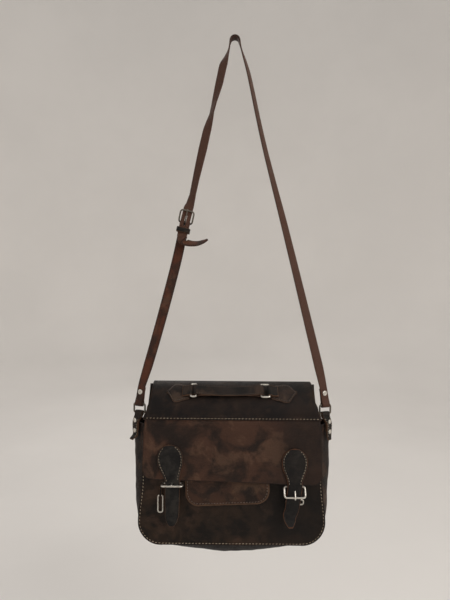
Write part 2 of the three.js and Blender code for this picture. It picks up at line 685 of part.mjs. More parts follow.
const frameTilt = Math.atan2(6, 2 * HALF_ADJUSTER);
const adjusterPivot = new THREE.Group();
adjusterPivot.position.set(0, 0, -HALF_ADJUSTER);
adjusterPivot.rotation.x = frameTilt;
adjuster.add(adjusterPivot);
const ADJUSTER_REACH = 2 * HALF_ADJUSTER / Math.cos(frameTilt);
add('adjuster_frame', wireLoop(25.4, ADJUSTER_REACH, 5, 1.5), darkMetal, {
  at: [0, 0, ADJUSTER_REACH / 2], into: adjusterPivot,
});
const tongue = 3;
add('adjuster_prong', wire([
  [0, tongue, 1], [0, tongue * 0.8, -tongue * 0.6], [0, 0, -tongue], [0, -tongue * 0.8, -tongue * 0.6],
  [0, -tongue, 1], [0, -tongue, 9], [0, -tongue, ADJUSTER_REACH], [0, -tongue + 0.6, ADJUSTER_REACH + 2.6],
], 1.1), darkMetal, { into: adjusterPivot });

function keeperBand() {
  const outline = new THREE.Shape();
  const hole = new THREE.Path();
  const box = (path, x0, x1, y0, y1) => {
    path.moveTo(x0, y0);
    path.lineTo(x1, y0);
    path.lineTo(x1, y1);
    path.lineTo(x0, y1);
    path.closePath();
  };
  box(outline, -12.4, 12.4, -9.6, 5);
  box(hole, -10.6, 10.6, -7.8, 3.4);
  outline.holes.push(hole);
  return closed(new THREE.ExtrudeGeometry(outline, { depth: 9.5, bevelEnabled: false }));
}
add('strap_keeper', keeperBand(), blackLeather, { at: [0, 0, -30], into: adjuster });

// rivets through the folded strap ends
for (const { name, sign } of SIDES) {
  const turn = radians(sign * 24);
  const out = [Math.sin(turn), -Math.cos(turn)];
  const off = LEATHER + GAP / 2 + 0.9;
  rivet(`${name}_strap_rivet`, [sign * 167.6 + out[0] * off, -29 + out[1] * off, barTop + 21.5], out, 4.6, bareMetal);
}

const satchel = new THREE.Group();
bag.position.z = -HANG_HEIGHT;
satchel.add(bag);

export default satchel;
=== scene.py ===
"""Looks of the leather satchel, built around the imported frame.

Lengths in this file are in millimetres with heights counted from the lower edge of the
front panel, as in the CAD source; row() turns them into the frame's metres.
"""

import math
import random

import bmesh
import bpy
import numpy as np
from mathutils import Matrix, Vector, noise


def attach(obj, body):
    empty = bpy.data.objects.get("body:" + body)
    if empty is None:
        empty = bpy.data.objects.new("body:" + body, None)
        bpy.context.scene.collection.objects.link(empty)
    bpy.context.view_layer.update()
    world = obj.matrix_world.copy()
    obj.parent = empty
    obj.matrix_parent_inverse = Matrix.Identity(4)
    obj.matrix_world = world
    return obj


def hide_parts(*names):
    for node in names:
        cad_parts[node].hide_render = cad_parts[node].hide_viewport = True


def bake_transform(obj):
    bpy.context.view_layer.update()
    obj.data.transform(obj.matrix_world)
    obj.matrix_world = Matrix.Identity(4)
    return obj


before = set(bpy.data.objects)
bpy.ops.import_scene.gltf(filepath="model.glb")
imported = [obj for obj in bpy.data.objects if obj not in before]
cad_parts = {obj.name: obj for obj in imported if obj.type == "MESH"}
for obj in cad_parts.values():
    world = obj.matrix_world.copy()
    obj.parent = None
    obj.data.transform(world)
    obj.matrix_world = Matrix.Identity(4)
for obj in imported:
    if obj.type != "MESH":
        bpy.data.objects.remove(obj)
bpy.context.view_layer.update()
random.seed(7)

MM = 0.001
HANG = 940.0            # height of the hanging point, which is the frame's origin
LEATHER = 2.5           # thickness of the body's, flap's and strap's leather
TRIM = 2.0              # thickness of the pocket, billets, side tabs and handle
GAP = 0.3               # clearance between two layers that lie on each other
WIRE = 1.6              # radius of the wire of buckles and rings
FRONT_FACE = -44.0      # outer face of the front panel
BACK_FACE = 11.5        # outer face of the back panel
PANEL_TOP = 218.0       # top of the front panel
BACK_TOP = 281.0        # top of the back panel
YOKE_TOP = 287.0        # height of the curved top at its back edge
SEAM = 231.0            # height of the curved top at its front, above its skirt
HINGE_Y = 8.0           # the curved top's back edge
YOKE_DEPTH = 58.0       # from the curved top's back edge to its front
YOKE_SKIRT = 4.0        # how far the curved top drops over the flap
FLAP_LOW = 120.0        # lower edge of the flap
FLAP_SLANT = -0.03      # slope of that edge
FLAP_HALF = 160.0       # half the flap's width
FLAP_CORNER = 18.0      # radius of the flap's lower corners
FLAP_TOP = SEAM - YOKE_SKIRT - GAP
FLAP_LEAN = 0.096       # how far the flap leans forward for each millimetre down
FAR_FROM_EDGE = 20.0    # Edge of a piece that has no cut edge


def row(points):
    out = np.array(points, float).reshape(-1, 3) * MM
    out[:, 2] -= HANG * MM
    return out


def ease(t):
    return t * t * (3 - 2 * t)


def clamp(value, low=0.0, high=1.0):
    return min(max(value, low), high)


def graded(rows, at):
    """The value at a place, eased between rows of (place, value)."""
    if at <= rows[0][0]:
        return rows[0][1]
    for (x0, v0), (x1, v1) in zip(rows, rows[1:]):
        if at <= x1:
            return v0 + (v1 - v0) * ease((at - x0) / (x1 - x0))
    return rows[-1][1]


def mix(a, b, t):
    return a + (b - a) * t


# ---------------------------------------------------------------- mesh building
def smooth_noise(p, scale, seed=0.0):
    return noise.noise(Vector((p[0] * scale + seed, p[1] * scale - seed, p[2] * scale + 2 * seed)))


def linked(name, data):
    """A new object in the scene."""
    made = bpy.data.objects.new(name, data)
    bpy.context.scene.collection.objects.link(made)
    return made


def shell_faces(long, wide):
    """Faces of two layers of (long + 1) x (wide + 1) points, joined round their edges."""
    row_size = wide + 1
    size = row_size * (long + 1)
    faces = []
    for i in range(long):
        for j in range(wide):
            a = i * row_size + j
            faces.append((a, a + 1, a + 1 + row_size, a + row_size))
            faces.append((size + a + row_size, size + a + 1 + row_size, size + a + 1, size + a))
        for j in (0, wide):
            a = i * row_size + j
            faces.append((a, a + row_size, size + a + row_size, size + a))
    for i in (0, long):
        for j in range(wide):
            a = i * row_size + j
            faces.append((a, a + 1, size + a + 1, size + a))
    return faces


def band_faces(rows, sides, wrap=False):
    """Faces between rows of points that each close on themselves; wrap joins the last row to the first."""
    faces = []
    for i in range(rows if wrap else rows - 1):
        j = (i + 1) % rows
        for k in range(sides):
            n = (k + 1) % sides
            faces.append((i * sides + k, i * sides + n, j * sides + n, j * sides + k))
    return faces


def make(name, verts, faces, body, material, edge=None, side=None, stand_for=(), slot=None, weave=None):
    """A shown piece from millimetre vertices, with the attributes that its material reads."""
    mesh = bpy.data.meshes.new(name)
    verts = np.array(verts, float).reshape(-1, 3)
    mesh.from_pydata(row(verts).tolist(), [], [list(f) for f in faces])
    bm = bmesh.new()
    bm.from_mesh(mesh)
    bmesh.ops.recalc_face_normals(bm, faces=bm.faces)
    bm.to_mesh(mesh)
    bm.free()
    rest = mesh.attributes.new("Rest", "FLOAT_VECTOR", "POINT")
    rest.data.foreach_set("vector", verts.ravel().astype(np.float32))
    for label, values, usual in (("Edge", edge, FAR_FROM_EDGE), ("Side", side, 1.0), ("Along", weave, 1.0)):
        filled = np.full(len(verts), usual) if values is None else np.array(values, float)
        attribute = mesh.attributes.new(label, "FLOAT", "POINT")
        attribute.data.foreach_set("value", filled.astype(np.float32))
    for polygon in mesh.polygons:
        polygon.use_smooth = True
    mesh.materials.append(material)
    piece = linked(name, mesh)
    if body:
        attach(piece, body)
    if stand_for:
        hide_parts(*stand_for)
    return piece


def curve_through(points):
    """Centripetal Catmull-Rom through points; returns place(t) and direction(t)."""
    pts = [np.array(p, float) for p in points]
    count = len(pts)

    def place(t):
        f = min(max(t, 0.0), 1.0) * (count - 1)
        k = min(int(f), count - 2)
        w = f - k
        p1, p2 = pts[k], pts[k + 1]
        p0 = pts[k - 1] if k > 0 else 2 * pts[0] - pts[1]
        p3 = pts[k + 2] if k + 2 < count else 2 * pts[-1] - pts[-2]
        d0, d1, d2 = (max(((b - a) @ (b - a)) ** 0.25, 0.0) for a, b in ((p0, p1), (p1, p2), (p2, p3)))
        d1 = d1 if d1 > 1e-4 else 1.0
        d0 = d0 if d0 > 1e-4 else d1
        d2 = d2 if d2 > 1e-4 else d1
        m1 = ((p1 - p0) / d0 - (p2 - p0) / (d0 + d1) + (p2 - p1) / d1) * d1
        m2 = ((p2 - p1) / d1 - (p3 - p1) / (d1 + d2) + (p3 - p2) / d2) * d1
        return p1 + m1 * w + (3 * (p2 - p1) - 2 * m1 - m2) * w**2 + (2 * (p1 - p2) + m1 + m2) * w**3

    def direction(t):
        a, b = max(t - 1e-4, 0), min(t + 1e-4, 1)
        d = place(b) - place(a)
        return d / np.linalg.norm(d)

    return place, direction


def stations(stops, sub):
    """Places along stops (point, side, width), with a frame at each."""
    place, direction = curve_through([s[0] for s in stops])
    last = len(stops) - 1
    out = []
    for i in range(last * sub + 1):
        t = i / (last * sub)
        k = min(int(t * last), last - 1)
        w = t * last - k
        tangent = direction(t)
        side = mix(np.array(stops[k][1], float), np.array(stops[k + 1][1], float), w)
        side = side - tangent * (side @ tangent)
        side /= np.linalg.norm(side)
        out.append((place(t), side, np.cross(tangent, side), mix(stops[k][2], stops[k + 1][2], w)))
    return out


class Strip:
    """A strip of leather along stops, with rounded edges, laid out for stitches and wear."""

    def __init__(self, stops, thickness, sub=6, across=8, round_off=0.6, dome=0.0, ripple=0.0, seed=0.0):
        self.frames = stations(stops, sub)
        self.thickness = thickness
        centres = np.array([f[0] for f in self.frames])
        steps = np.linalg.norm(np.diff(centres, axis=0), axis=1)
        self.along = np.concatenate([[0], np.cumsum(steps)])
        self.length = self.along[-1]
        half = thickness / 2
        r = min(round_off, half * 0.95)
        profile = []
        for sign, order in ((1, range(across + 1)), (-1, range(across, -1, -1))):
            for j in order:
                a = -1 + 2 * j / across
                profile.append((a, 0.0, sign * (half + dome * (1 - a * a)) if sign > 0 else -half, sign))
            end = 1 if sign > 0 else -1
            for turn in (30, 60, 90, 120, 150):
                c, s = math.cos(math.radians(turn)), math.sin(math.radians(turn))
                profile.append((end, end * r * s, sign * c * half, sign * c))
        self.profile = profile
        verts, edge, side, along = [], [], [], []
        for i, (p, s, n, width) in enumerate(self.frames):
            reach = max(width / 2 - r, 0.05)
            lift = ripple * smooth_noise(p, 0.03, seed) if ripple else 0.0
            for a, out, h, facing in profile:
                x = a * reach + out
                verts.append(p + s * x + n * (h + lift))
                edge.append(min(width / 2 - abs(x), self.along[i], self.length - self.along[i]))
                side.append(facing)
                along.append(self.along[i])
        m = len(profile)
        faces = []
        for i in range(len(self.frames) - 1):
            for j in range(m):
                k = (j + 1) % m
                faces.append((i * m + j, i * m + k, (i + 1) * m + k, (i + 1) * m + j))
        last = (len(self.frames) - 1) * m
        faces.append(tuple(range(m)))
        faces.append(tuple(last + j for j in range(m)))
        self.verts, self.faces, self.edge, self.side, self.run = np.array(verts), faces, edge, side, along

    def at(self, distance, across, lift=0.0, face=1):
        """A point on the strip's face, and the outward direction there."""
        distance = min(max(distance, 0), self.length)
        i = min(int(np.searchsorted(self.along, distance, "right")) - 1, len(self.frames) - 2)
        span = self.along[i + 1] - self.along[i]
        w = (distance - self.along[i]) / span if span > 0 else 0
        p, s, n = (mix(self.frames[i][q], self.frames[i + 1][q], w) for q in (0, 1, 2))
        width = mix(self.frames[i][3], self.frames[i + 1][3], w)
        return p + s * across + n * face * (self.thickness / 2 + lift), n * face, width

    def grain_towards(self, direction, distance):
        """Puts the grain side on the face that looks in a direction, and returns that face."""
        face = 1 if self.at(distance, 0)[1] @ np.array(direction) > 0 else -1
        if face < 0:
            self.side = [-s for s in self.side]
        return face

    def border(self, inset, start, end, face):
        """Two runs of points inset from the strip's long edges, on one face."""
        count = max(int((end - start) / 1.5), 2)
        places = [start + (end - start) * k / count for k in range(count + 1)]
        left, right = [], []
        for d in places:
            reach = self.at(d, 0)[2] / 2 - inset
            left.append(self.at(d, -max(reach, 0), 0, face)[:2])
            right.append(self.at(d, max(reach, 0), 0, face)[:2])
        return left, right

    def piece(self, name, body, material, **words):
        return make(name, self.verts, self.faces, body, material, edge=self.edge, side=self.side,
                    weave=self.run, **words)


class Panel:
    """A leather sheet standing at y = face(x, z) between two heights, with rounded edges."""

    def __init__(self, low, high, half, face, thickness, slant=0.0, columns=56, rows=40, power=1.6,
                 round_off=0.7, place=None):
        self.thickness, self.face, self.place = thickness, face, place or (lambda p: p)
        self.half, self.low, self.high, self.slant, self.power = half, low, high, slant, power
        grid = np.zeros((rows + 1, columns + 1, 2))
        for i in range(rows + 1):
            v = i / rows
            height = mix(low, high, v**power)
            for j in range(columns + 1):
                grid[i, j] = self.flat(2 * j / columns - 1, height)
        outline = self.outline(2.0)
        flat = grid.reshape(-1, 2)
        distance = distance_to(flat, outline)
        verts, edge, side = [], [], []
        shrink = round_off * 0.7
        middle = flat.mean(0)
        for layer in (-1, 1):
            for (x, z), d in zip(flat, distance):
                if d < 1e-3:
                    pull = (middle - (x, z)) / (np.linalg.norm(middle - (x, z)) + 1e-6) * shrink
                    x, z = x + pull[0], z + pull[1]
                verts.append((x, face(x, z) + layer * thickness / 2, z))
                edge.append(d)
                side.append(-layer)
        wide = columns + 1
        ring = list(range(wide))
        ring += [i * wide + columns for i in range(1, rows + 1)]
        ring += [rows * wide + j for j in range(columns - 1, -1, -1)]
        ring += [i * wide for i in range(rows - 1, 0, -1)]
        first_mid = len(verts)
        for k in ring:
            x, z = flat[k]
            verts.append((x, face(x, z), z))
            edge.append(0.0)
            side.append(0.0)
        layer_size = wide * (rows + 1)
        faces = []
        for i in range(rows):
            for j in range(columns):
                a, b = i * wide + j, i * wide + j + 1
                c, d = (i + 1) * wide + j + 1, (i + 1) * wide + j
                faces.append((a, b, c, d))
                faces.append((layer_size + d, layer_size + c, layer_size + b, layer_size + a))
        for k in range(len(ring)):
            n = (k + 1) % len(ring)
            faces.append((ring[n], ring[k], first_mid + k, first_mid + n))
            faces.append((first_mid + n, first_mid + k, layer_size + ring[k], layer_size + ring[n]))
        self.verts = np.array([self.place(p) for p in verts])
        self.faces, self.edge, self.side = faces, edge, side

    def flat(self, across, height):
        x = across * self.half(height)
        z = (height - self.low) / (self.high - self.low)
        rank = z ** (1 / self.power) if z > 0 else 0
        return x, height + self.slant * x * (1 - rank)

    def outline(self, step):
        """Left top, down, along the lower edge and up to the right top, then back along the top."""
        count = 90
        heights = [mix(self.high, self.low, (k / count) ** 0.6) for k in range(count + 1)]
        points = [self.flat(-1, h) for h in heights]
        points += [self.flat(-1 + 2 * k / 40, self.low) for k in range(1, 40)]
        points += [self.flat(1, h) for h in reversed(heights)]
        points += [self.flat(1 - 2 * k / 40, self.high) for k in range(1, 41)]
        return resample(np.array(points), step)

    def on(self, x, z, layer=-1, lift=0.0):
        y = self.face(x, z) + layer * (self.thickness / 2 + lift)
        return np.array(self.place((x, y, z)))

    def run(self, inset, parts="left bottom right", layer=-1, trim=4.0):
        """Points with outward directions, inset from the outline."""
        outline = self.outline(1.0)
        centre = outline.mean(0)
        tangents = np.roll(outline, -1, axis=0) - np.roll(outline, 1, axis=0)
        normals = np.stack([tangents[:, 1], -tangents[:, 0]], 1)
        normals /= np.linalg.norm(normals, axis=1)[:, None] + 1e-9
        normals *= np.sign(((centre - outline) * normals).sum(1))[:, None]
        moved = outline + normals * inset
        top = self.high - inset - trim
        keep = []
        for (x, z), (ox, oz) in zip(moved, outline):
            if "top" in parts:
                if abs(oz - self.high) < 0.5 and abs(ox) < self.half(self.high) - inset:
                    keep.append((x, z))
            elif z < top and oz < self.high - 0.5:
                keep.append((x, z))
        distance = distance_to(np.array(keep), outline)
        keep = [k for k, d in zip(keep, distance) if d > inset * 0.96]
        direction = np.array(self.place((0, layer, 0))) - np.array(self.place((0, 0, 0)))
        return [(self.on(x, z, layer), direction) for x, z in keep]

    def piece(self, name, body, material, **words):
        return make(name, self.verts, self.faces, body, material, edge=self.edge, side=self.side, **words)


def distance_to(points, outline):
    """The distance of each point from a closed outline."""
    nxt = np.roll(outline, -1, axis=0)
    best = np.full(len(points), 1e9)
    for a, b in zip(outline, nxt):
        ab = b - a
        t = np.clip(((points - a) @ ab) / (ab @ ab + 1e-12), 0, 1)
        best = np.minimum(best, np.linalg.norm(points - a - t[:, None] * ab, axis=1))
    return best


def resample(points, step):
    """A closed outline again, with its points about a step apart."""
    closed = np.vstack([points, points[:1]])
    lengths = np.concatenate([[0], np.cumsum(np.linalg.norm(np.diff(closed, axis=0), axis=1))])
    count = max(int(lengths[-1] / step), 8)
    at = np.linspace(0, lengths[-1], count, endpoint=False)
    return np.stack([np.interp(at, lengths, closed[:, k]) for k in range(closed.shape[1])], 1)


def tube(points, radius, sides=14, closed=False):
    """Round wire along closely spaced points."""
    pts = np.array(points, float)
    count = len(pts)
    tangents = np.roll(pts, -1, axis=0) - np.roll(pts, 1, axis=0)
    if not closed:
        tangents[0], tangents[-1] = pts[1] - pts[0], pts[-1] - pts[-2]
    tangents /= np.linalg.norm(tangents, axis=1)[:, None]
    normal = np.cross(tangents[0], (0.13, 0.97, 0.21))
    normal /= np.linalg.norm(normal)
    verts = []
    for i in range(count):
        normal = normal - tangents[i] * (normal @ tangents[i])
        normal /= np.linalg.norm(normal)
        binormal = np.cross(tangents[i], normal)
        for k in range(sides):
            a = 2 * math.pi * k / sides
            verts.append(pts[i] + (normal * math.cos(a) + binormal * math.sin(a)) * radius)
    faces = []
    for i in range(count if closed else count - 1):
        j = (i + 1) % count
        shift = 0
        if closed and j == 0:
            gaps = [np.linalg.norm(verts[i * sides] - verts[k]) for k in range(sides)]
            shift = int(np.argmin(gaps))
        for k in range(sides):
            n = (k + 1) % sides
            faces.append((i * sides + k, i * sides + n,
                          j * sides + (n + shift) % sides, j * sides + (k + shift) % sides))
    if not closed:
        for end, outward in ((0, -1), (count - 1, 1)):
            start = end * sides
            inner = []
            for k in range(sides):
                inner.append(len(verts))
                verts.append(mix(verts[start + k], pts[end], 0.35) + tangents[end] * outward * radius * 0.6)
            for k in range(sides):
                n = (k + 1) % sides
                faces.append((start + k, start + n, inner[n], inner[k]))
            faces.append(tuple(inner))
    return verts, faces


def loop_points(width, height, corner, count=72):
    """Rounded rectangle in the XZ plane."""
    w, h = width / 2, height / 2
    raw = []
    for cx, cz, start in ((w - corner, h - corner, 0), (corner - w, h - corner, 90),
                          (corner - w, corner - h, 180), (w - corner, corner - h, 270)):
        for k in range(9):
            a = math.radians(start + 90 * k / 8)
            raw.append((cx + corner * math.cos(a), 0.0, cz + corner * math.sin(a)))
    return resample(np.array(raw), 2 * (width + height) / count)


def wire_points(points, sub=6):
    place, _ = curve_through(points)
    count = (len(points) - 1) * sub
    return [place(k / count) for k in range(count + 1)]


def moved(points, matrix):
    return [np.array(matrix @ Vector(p)) for p in points]


def turn(axis, degrees):
    return Matrix.Rotation(math.radians(degrees), 4, axis)


def shift(x, y, z):
    return Matrix.Translation((x, y, z))


# ---------------------------------------------------------------- stitches
# rows along one stitch: place along it, thickness there, height over the leather
CAPSULE = [(-0.5, 0.35, -0.5), (-0.36, 0.9, 0.15), (0.0, 1.0, 0.5), (0.36, 0.9, 0.15), (0.5, 0.35, -0.5)]
CAPSULE_SIDES = 6


def stitch_mesh(runs, pitch, long, thick, slant=7.0):
    """Small sunk capsules along runs of (point, outward) pairs."""
    verts, faces, along = [], [], []
    for run in runs:
        if len(run) < 3:
            continue
        pts = np.array([r[0] for r in run])
        outs = np.array([r[1] for r in run])
        lengths = np.concatenate([[0], np.cumsum(np.linalg.norm(np.diff(pts, axis=0), axis=1))])
        total = lengths[-1]
        count = max(int(total / pitch), 1)
        for s in range(count):
            centre = (s + 0.5) * total / count
            a, b = centre - long / 2, centre + long / 2
            ends = [np.array([np.interp(t, lengths, pts[:, q]) for q in range(3)]) for t in (a, b)]
            out = np.array([np.interp(centre, lengths, outs[:, q]) for q in range(3)])
            out /= np.linalg.norm(out)
            axis = ends[1] - ends[0]
            size = np.linalg.norm(axis)
            if size < long * 0.5:
                continue
            axis /= size
            across = np.cross(out, axis)
            lean = math.tan(math.radians(slant + random.uniform(-3, 3)))
            base = len(verts)
            middle = (ends[0] + ends[1]) / 2
            for u, fat, rise in CAPSULE:
                p = middle + axis * u * size + across * u * size * lean + out * rise * thick
                for k in range(CAPSULE_SIDES):
                    t = math.tau * k / CAPSULE_SIDES
                    verts.append(p + (across * math.cos(t) + out * math.sin(t) * 0.8) * thick * fat)
                    along.append(u * size + s * 11.3)
            last = (len(CAPSULE) - 1) * CAPSULE_SIDES
            for face in band_faces(len(CAPSULE), CAPSULE_SIDES):
                faces.append(tuple(base + corner for corner in face))
            faces.append(tuple(base + k for k in range(CAPSULE_SIDES)))
            faces.append(tuple(base + last + k for k in range(CAPSULE_SIDES)))
    return verts, faces, along


def stitches(name, runs, body, material, pitch=6.0, long=3.3, thick=0.5):
    verts, faces, along = stitch_mesh(runs, pitch, long, thick)
    make(name, verts, faces, body, material, weave=along)


# ---------------------------------------------------------------- materials
# sockets of a Mix node that mixes colours
COLOUR_A, COLOUR_B, COLOUR_RESULT = 6, 7, 2


def opaque(source):
    """A colour with its alpha; a number or a socket stays as it is."""
    return (*source, 1.0)[:4] if isinstance(source, tuple) else source


class Nodes:
    """A small wrapper that adds and links shader nodes."""

    def __init__(self, name):
        self.material = bpy.data.materials.new(name)
        self.material.use_nodes = True
        self.tree = self.material.node_tree
        self.tree.nodes.clear()
        self.out = self.tree.nodes.new("ShaderNodeOutputMaterial")
        self.shader = self.tree.nodes.new("ShaderNodeBsdfPrincipled")
        self.link(self.shader.outputs["BSDF"], self.out.inputs["Surface"])

    def add(self, kind, **settings):
        node = self.tree.nodes.new(kind)
        for key, value in settings.items():
            setattr(node, key, value)
        return node

    def link(self, a, b):
        self.tree.links.new(a, b)

    def value(self, socket, source):
        if isinstance(source, (int, float, tuple)):
            socket.default_value = source
        else:
            self.link(source, socket)

    def attribute(self, name, output="Fac"):
        return self.add("ShaderNodeAttribute", attribute_name=name).outputs[output]

    def math(self, operation, a, b=0.0, clamp=False):
        node = self.add("ShaderNodeMath", operation=operation, use_clamp=clamp)
        self.value(node.inputs[0], a)
        self.value(node.inputs[1], b)
        return node.outputs[0]

    def times(self, a, b):
        return self.math("MULTIPLY", a, b)

    def plus(self, a, b):
        return self.math("ADD", a, b)

    def minus(self, a, b):
        return self.math("SUBTRACT", a, b)

    def step(self, source, low, high, to_low=0.0, to_high=1.0, smooth=True):
        node = self.add("ShaderNodeMapRange", interpolation_type="SMOOTHSTEP" if smooth else "LINEAR")
        self.value(node.inputs["Value"], source)
        for key, v in (("From Min", low), ("From Max", high), ("To Min", to_low), ("To Max", to_high)):
            node.inputs[key].default_value = v
        return node.outputs["Result"]

    def noise(self, where, scale, detail=4.0, rough=0.55, distortion=0.0):
        node = self.add("ShaderNodeTexNoise")
        self.link(where, node.inputs["Vector"])
        node.inputs["Scale"].default_value = scale
        node.inputs["Detail"].default_value = detail
        node.inputs["Roughness"].default_value = rough
        node.inputs["Distortion"].default_value = distortion
        return node.outputs["Fac"]

    def cells(self, where, scale):
        node = self.add("ShaderNodeTexVoronoi", feature="DISTANCE_TO_EDGE")
        self.link(where, node.inputs["Vector"])
        node.inputs["Scale"].default_value = scale
        return node.outputs["Distance"]

    def stretch(self, where, scale):
        node = self.add("ShaderNodeMapping")
        self.link(where, node.inputs["Vector"])
        node.inputs["Scale"].default_value = scale
        return node.outputs["Vector"]

    def blend(self, factor, a, b, mode="MIX"):
        node = self.add("ShaderNodeMix", data_type="RGBA", blend_type=mode)
        self.value(node.inputs["Factor"], factor)
        for socket, source in ((COLOUR_A, a), (COLOUR_B, b)):
            self.value(node.inputs[socket], opaque(source))
        return node.outputs[COLOUR_RESULT]

    def bump(self, height, distance):
        node = self.add("ShaderNodeBump")
        self.link(height, node.inputs["Height"])
        node.inputs["Distance"].default_value = distance
        return node.outputs["Normal"]

    def set(self, name, source):
        self.value(self.shader.inputs[name], opaque(source))


SHADE_WANDER = 150.0    # how far the border of a stretch of painted shade strays with the mottling


def leather(name, base, dark, light, rim=None, rim_wide=1.6, rim_share=0.8, patch=0.5, patch_size=38.0,
            rough=(0.42, 0.68), groove=None, rub_and_sheen=0.3, flesh=None, crease=0.4, coat=0.04, shade=None,
            seed=0.0):
    """Worn leather. Reads Rest (mm), Edge (mm from the cut edge) and Side (1 grain side, -1 flesh side).

    rim is the cut edge's colour and rim_wide its width in mm. groove is how far in a pressed line runs.
    shade is (axis, start, end, share): painted shade, the leather darkening along that axis of Rest from
    start to end.
    """
    n = Nodes(name)
    rest = n.attribute("Rest", "Vector")
    where = n.add("ShaderNodeVectorMath", operation="ADD")
    n.link(rest, where.inputs[0])
    where.inputs[1].default_value = (seed * 31.0, seed * 17.0, seed * 23.0)
    at = where.outputs[0]
    edge = n.attribute("Edge")
    # large patches of darkened leather, broken up by smaller ones
    broad = n.noise(at, 1 / patch_size, 5.0, 0.6, 0.6)
    fine = n.noise(at, 1 / 7.0, 4.0, 0.6)
    fleck = n.noise(at, 1 / 1.6, 2.0, 0.6)
    mottled = n.plus(n.times(broad, 0.86), n.times(fine, 0.14))
    dark_share = n.step(mottled, 0.74 - 0.3 * patch, 0.54 - 0.3 * patch)
    colour = n.blend(dark_share, base, dark)
    # rubbed, lighter places: partly worn leather and partly painted sheen
    rubbed_and_sheen = n.math("MULTIPLY", n.step(n.noise(at, 1 / 48.0, 5.0, 0.62, 0.4), 0.50, 0.62), rub_and_sheen, clamp=True)
    colour = n.blend(rubbed_and_sheen, colour, light)
    # painted shade: the leather darkens along one axis, standing in for light that falls less there
    if shade is not None:
        axis, start, end, share = shade
        split = n.add("ShaderNodeSeparateXYZ")
        n.link(rest, split.inputs[0])
        uneven = n.times(n.minus(broad, 0.5), SHADE_WANDER)
        painted_shade_mask = n.step(n.plus(split.outputs[axis], uneven), start, end)
        colour = n.blend(n.times(painted_shade_mask, share), colour, dark)
    speck = n.times(n.step(fleck, 0.35, 0.65), 0.35)
    colour = n.blend(speck, colour, n.blend(1.0, colour, (0.62, 0.58, 0.55), "MULTIPLY"))
    # scratches and creases, long and thin
    lines = n.noise(n.stretch(at, (0.09, 0.3, 0.9)), 0.5, 6.0, 0.7, 1.2)
    scratch = n.step(n.math("ABSOLUTE", n.minus(lines, 0.5)), 0.012, 0.0)
    colour = n.blend(n.times(scratch, 0.28), colour, light)
    if rim is not None:
        ragged = n.plus(edge, n.times(n.minus(fine, 0.5), rim_wide * 1.4))
        near = n.times(n.step(ragged, rim_wide, rim_wide * 0.25), rim_share)
        colour = n.blend(near, colour, rim)
    sunk = None
    if groove is not None:
        sunk = n.step(n.math("ABSOLUTE", n.minus(edge, groove)), 1.0, 0.15)
        colour = n.blend(n.times(sunk, 0.5), colour, dark)
    if flesh is not None:
        back = n.step(n.attribute("Side"), 0.5, -0.5)
        fuzz = n.step(n.noise(at, 1 / 2.2, 3.0, 0.6), 0.3, 0.7)
        nap = n.blend(fuzz, flesh, tuple(c * 0.72 for c in flesh))
        colour = n.blend(back, colour, nap)
    n.set("Base Color", colour)
    gloss = n.plus(n.times(n.noise(at, 1 / 15.0, 4.0, 0.6), 0.55), n.times(fine, 0.45))
    n.set("Roughness", n.step(gloss, 0.3, 0.7, rough[0], rough[1], smooth=False))
    pebble = n.step(n.cells(at, 1 / 1.25), 0.0, 0.22)
    pores = n.noise(at, 1 / 0.55, 2.0, 0.5)
    relief = n.plus(n.times(pebble, 0.10), n.times(pores, 0.07))
    wrinkle = n.cells(n.stretch(at, (1.0, 1.0, 1.9)), 1 / 11.0)
    folds = n.times(n.step(wrinkle, 0.0, 0.09), 0.16 * crease)
    relief = n.plus(relief, folds)
    relief = n.plus(relief, n.times(broad, 0.9 * crease))
    relief = n.minus(relief, n.times(scratch, 0.05))
    if sunk is not None:
        relief = n.minus(relief, n.times(sunk, 0.45))
    n.set("Normal", n.bump(relief, 0.001))
    n.set("Specular IOR Level", 0.14)
    n.set("Coat Weight", coat)
    n.set("Coat Roughness", 0.38)
    return n.material


def metal(name, colour, dirt, rough=(0.16, 0.42), grime=0.5):
    n = Nodes(name)
    at = n.attribute("Rest", "Vector")
    cloud = n.noise(at, 1 / 5.0, 5.0, 0.6)
    fine = n.noise(at, 1 / 0.8, 3.0, 0.6)
    dirty = n.times(n.step(cloud, 0.46, 0.7), grime)
    worn = n.blend(n.step(fine, 0.3, 0.7), colour, tuple(c * 0.86 for c in colour))
    n.set("Base Color", n.blend(dirty, worn, dirt))
    n.set("Metallic", n.step(dirty, 0.0, 1.0, 1.0, 0.72, smooth=False))
    n.set("Roughness", n.step(n.plus(n.times(cloud, 0.6), n.times(fine, 0.4)),
                              0.3, 0.7, rough[0], rough[1], smooth=False))
    scuffs = n.noise(n.stretch(at, (1.0, 1.0, 4.0)), 1 / 1.3, 4.0, 0.65)
    n.set("Normal", n.bump(scuffs, 0.00012))
    return n.material


def thread(name, colour, shade):
    n = Nodes(name)
    at = n.attribute("Rest", "Vector")
    along = n.attribute("Along")
    twist = n.math("SINE", n.times(along, 7.5))
    soil = n.noise(at, 1 / 26.0, 4.0, 0.65)
    fuzz = n.noise(at, 1 / 0.5, 2.0, 0.5)
    tint = n.blend(n.step(soil, 0.42, 0.66), colour, shade)
    # the twist's darker bands are painted shade in the grooves between the thread's plies
    n.set("Base Color", n.blend(n.times(n.step(twist, -1.0, 1.0), 0.35), tint, shade))
    n.set("Roughness", n.step(fuzz, 0.3, 0.7, 0.68, 0.9))
    n.set("Normal", n.bump(n.plus(twist, fuzz), 0.00012))
    n.set("Sheen Weight", 0.25)
    return n.material
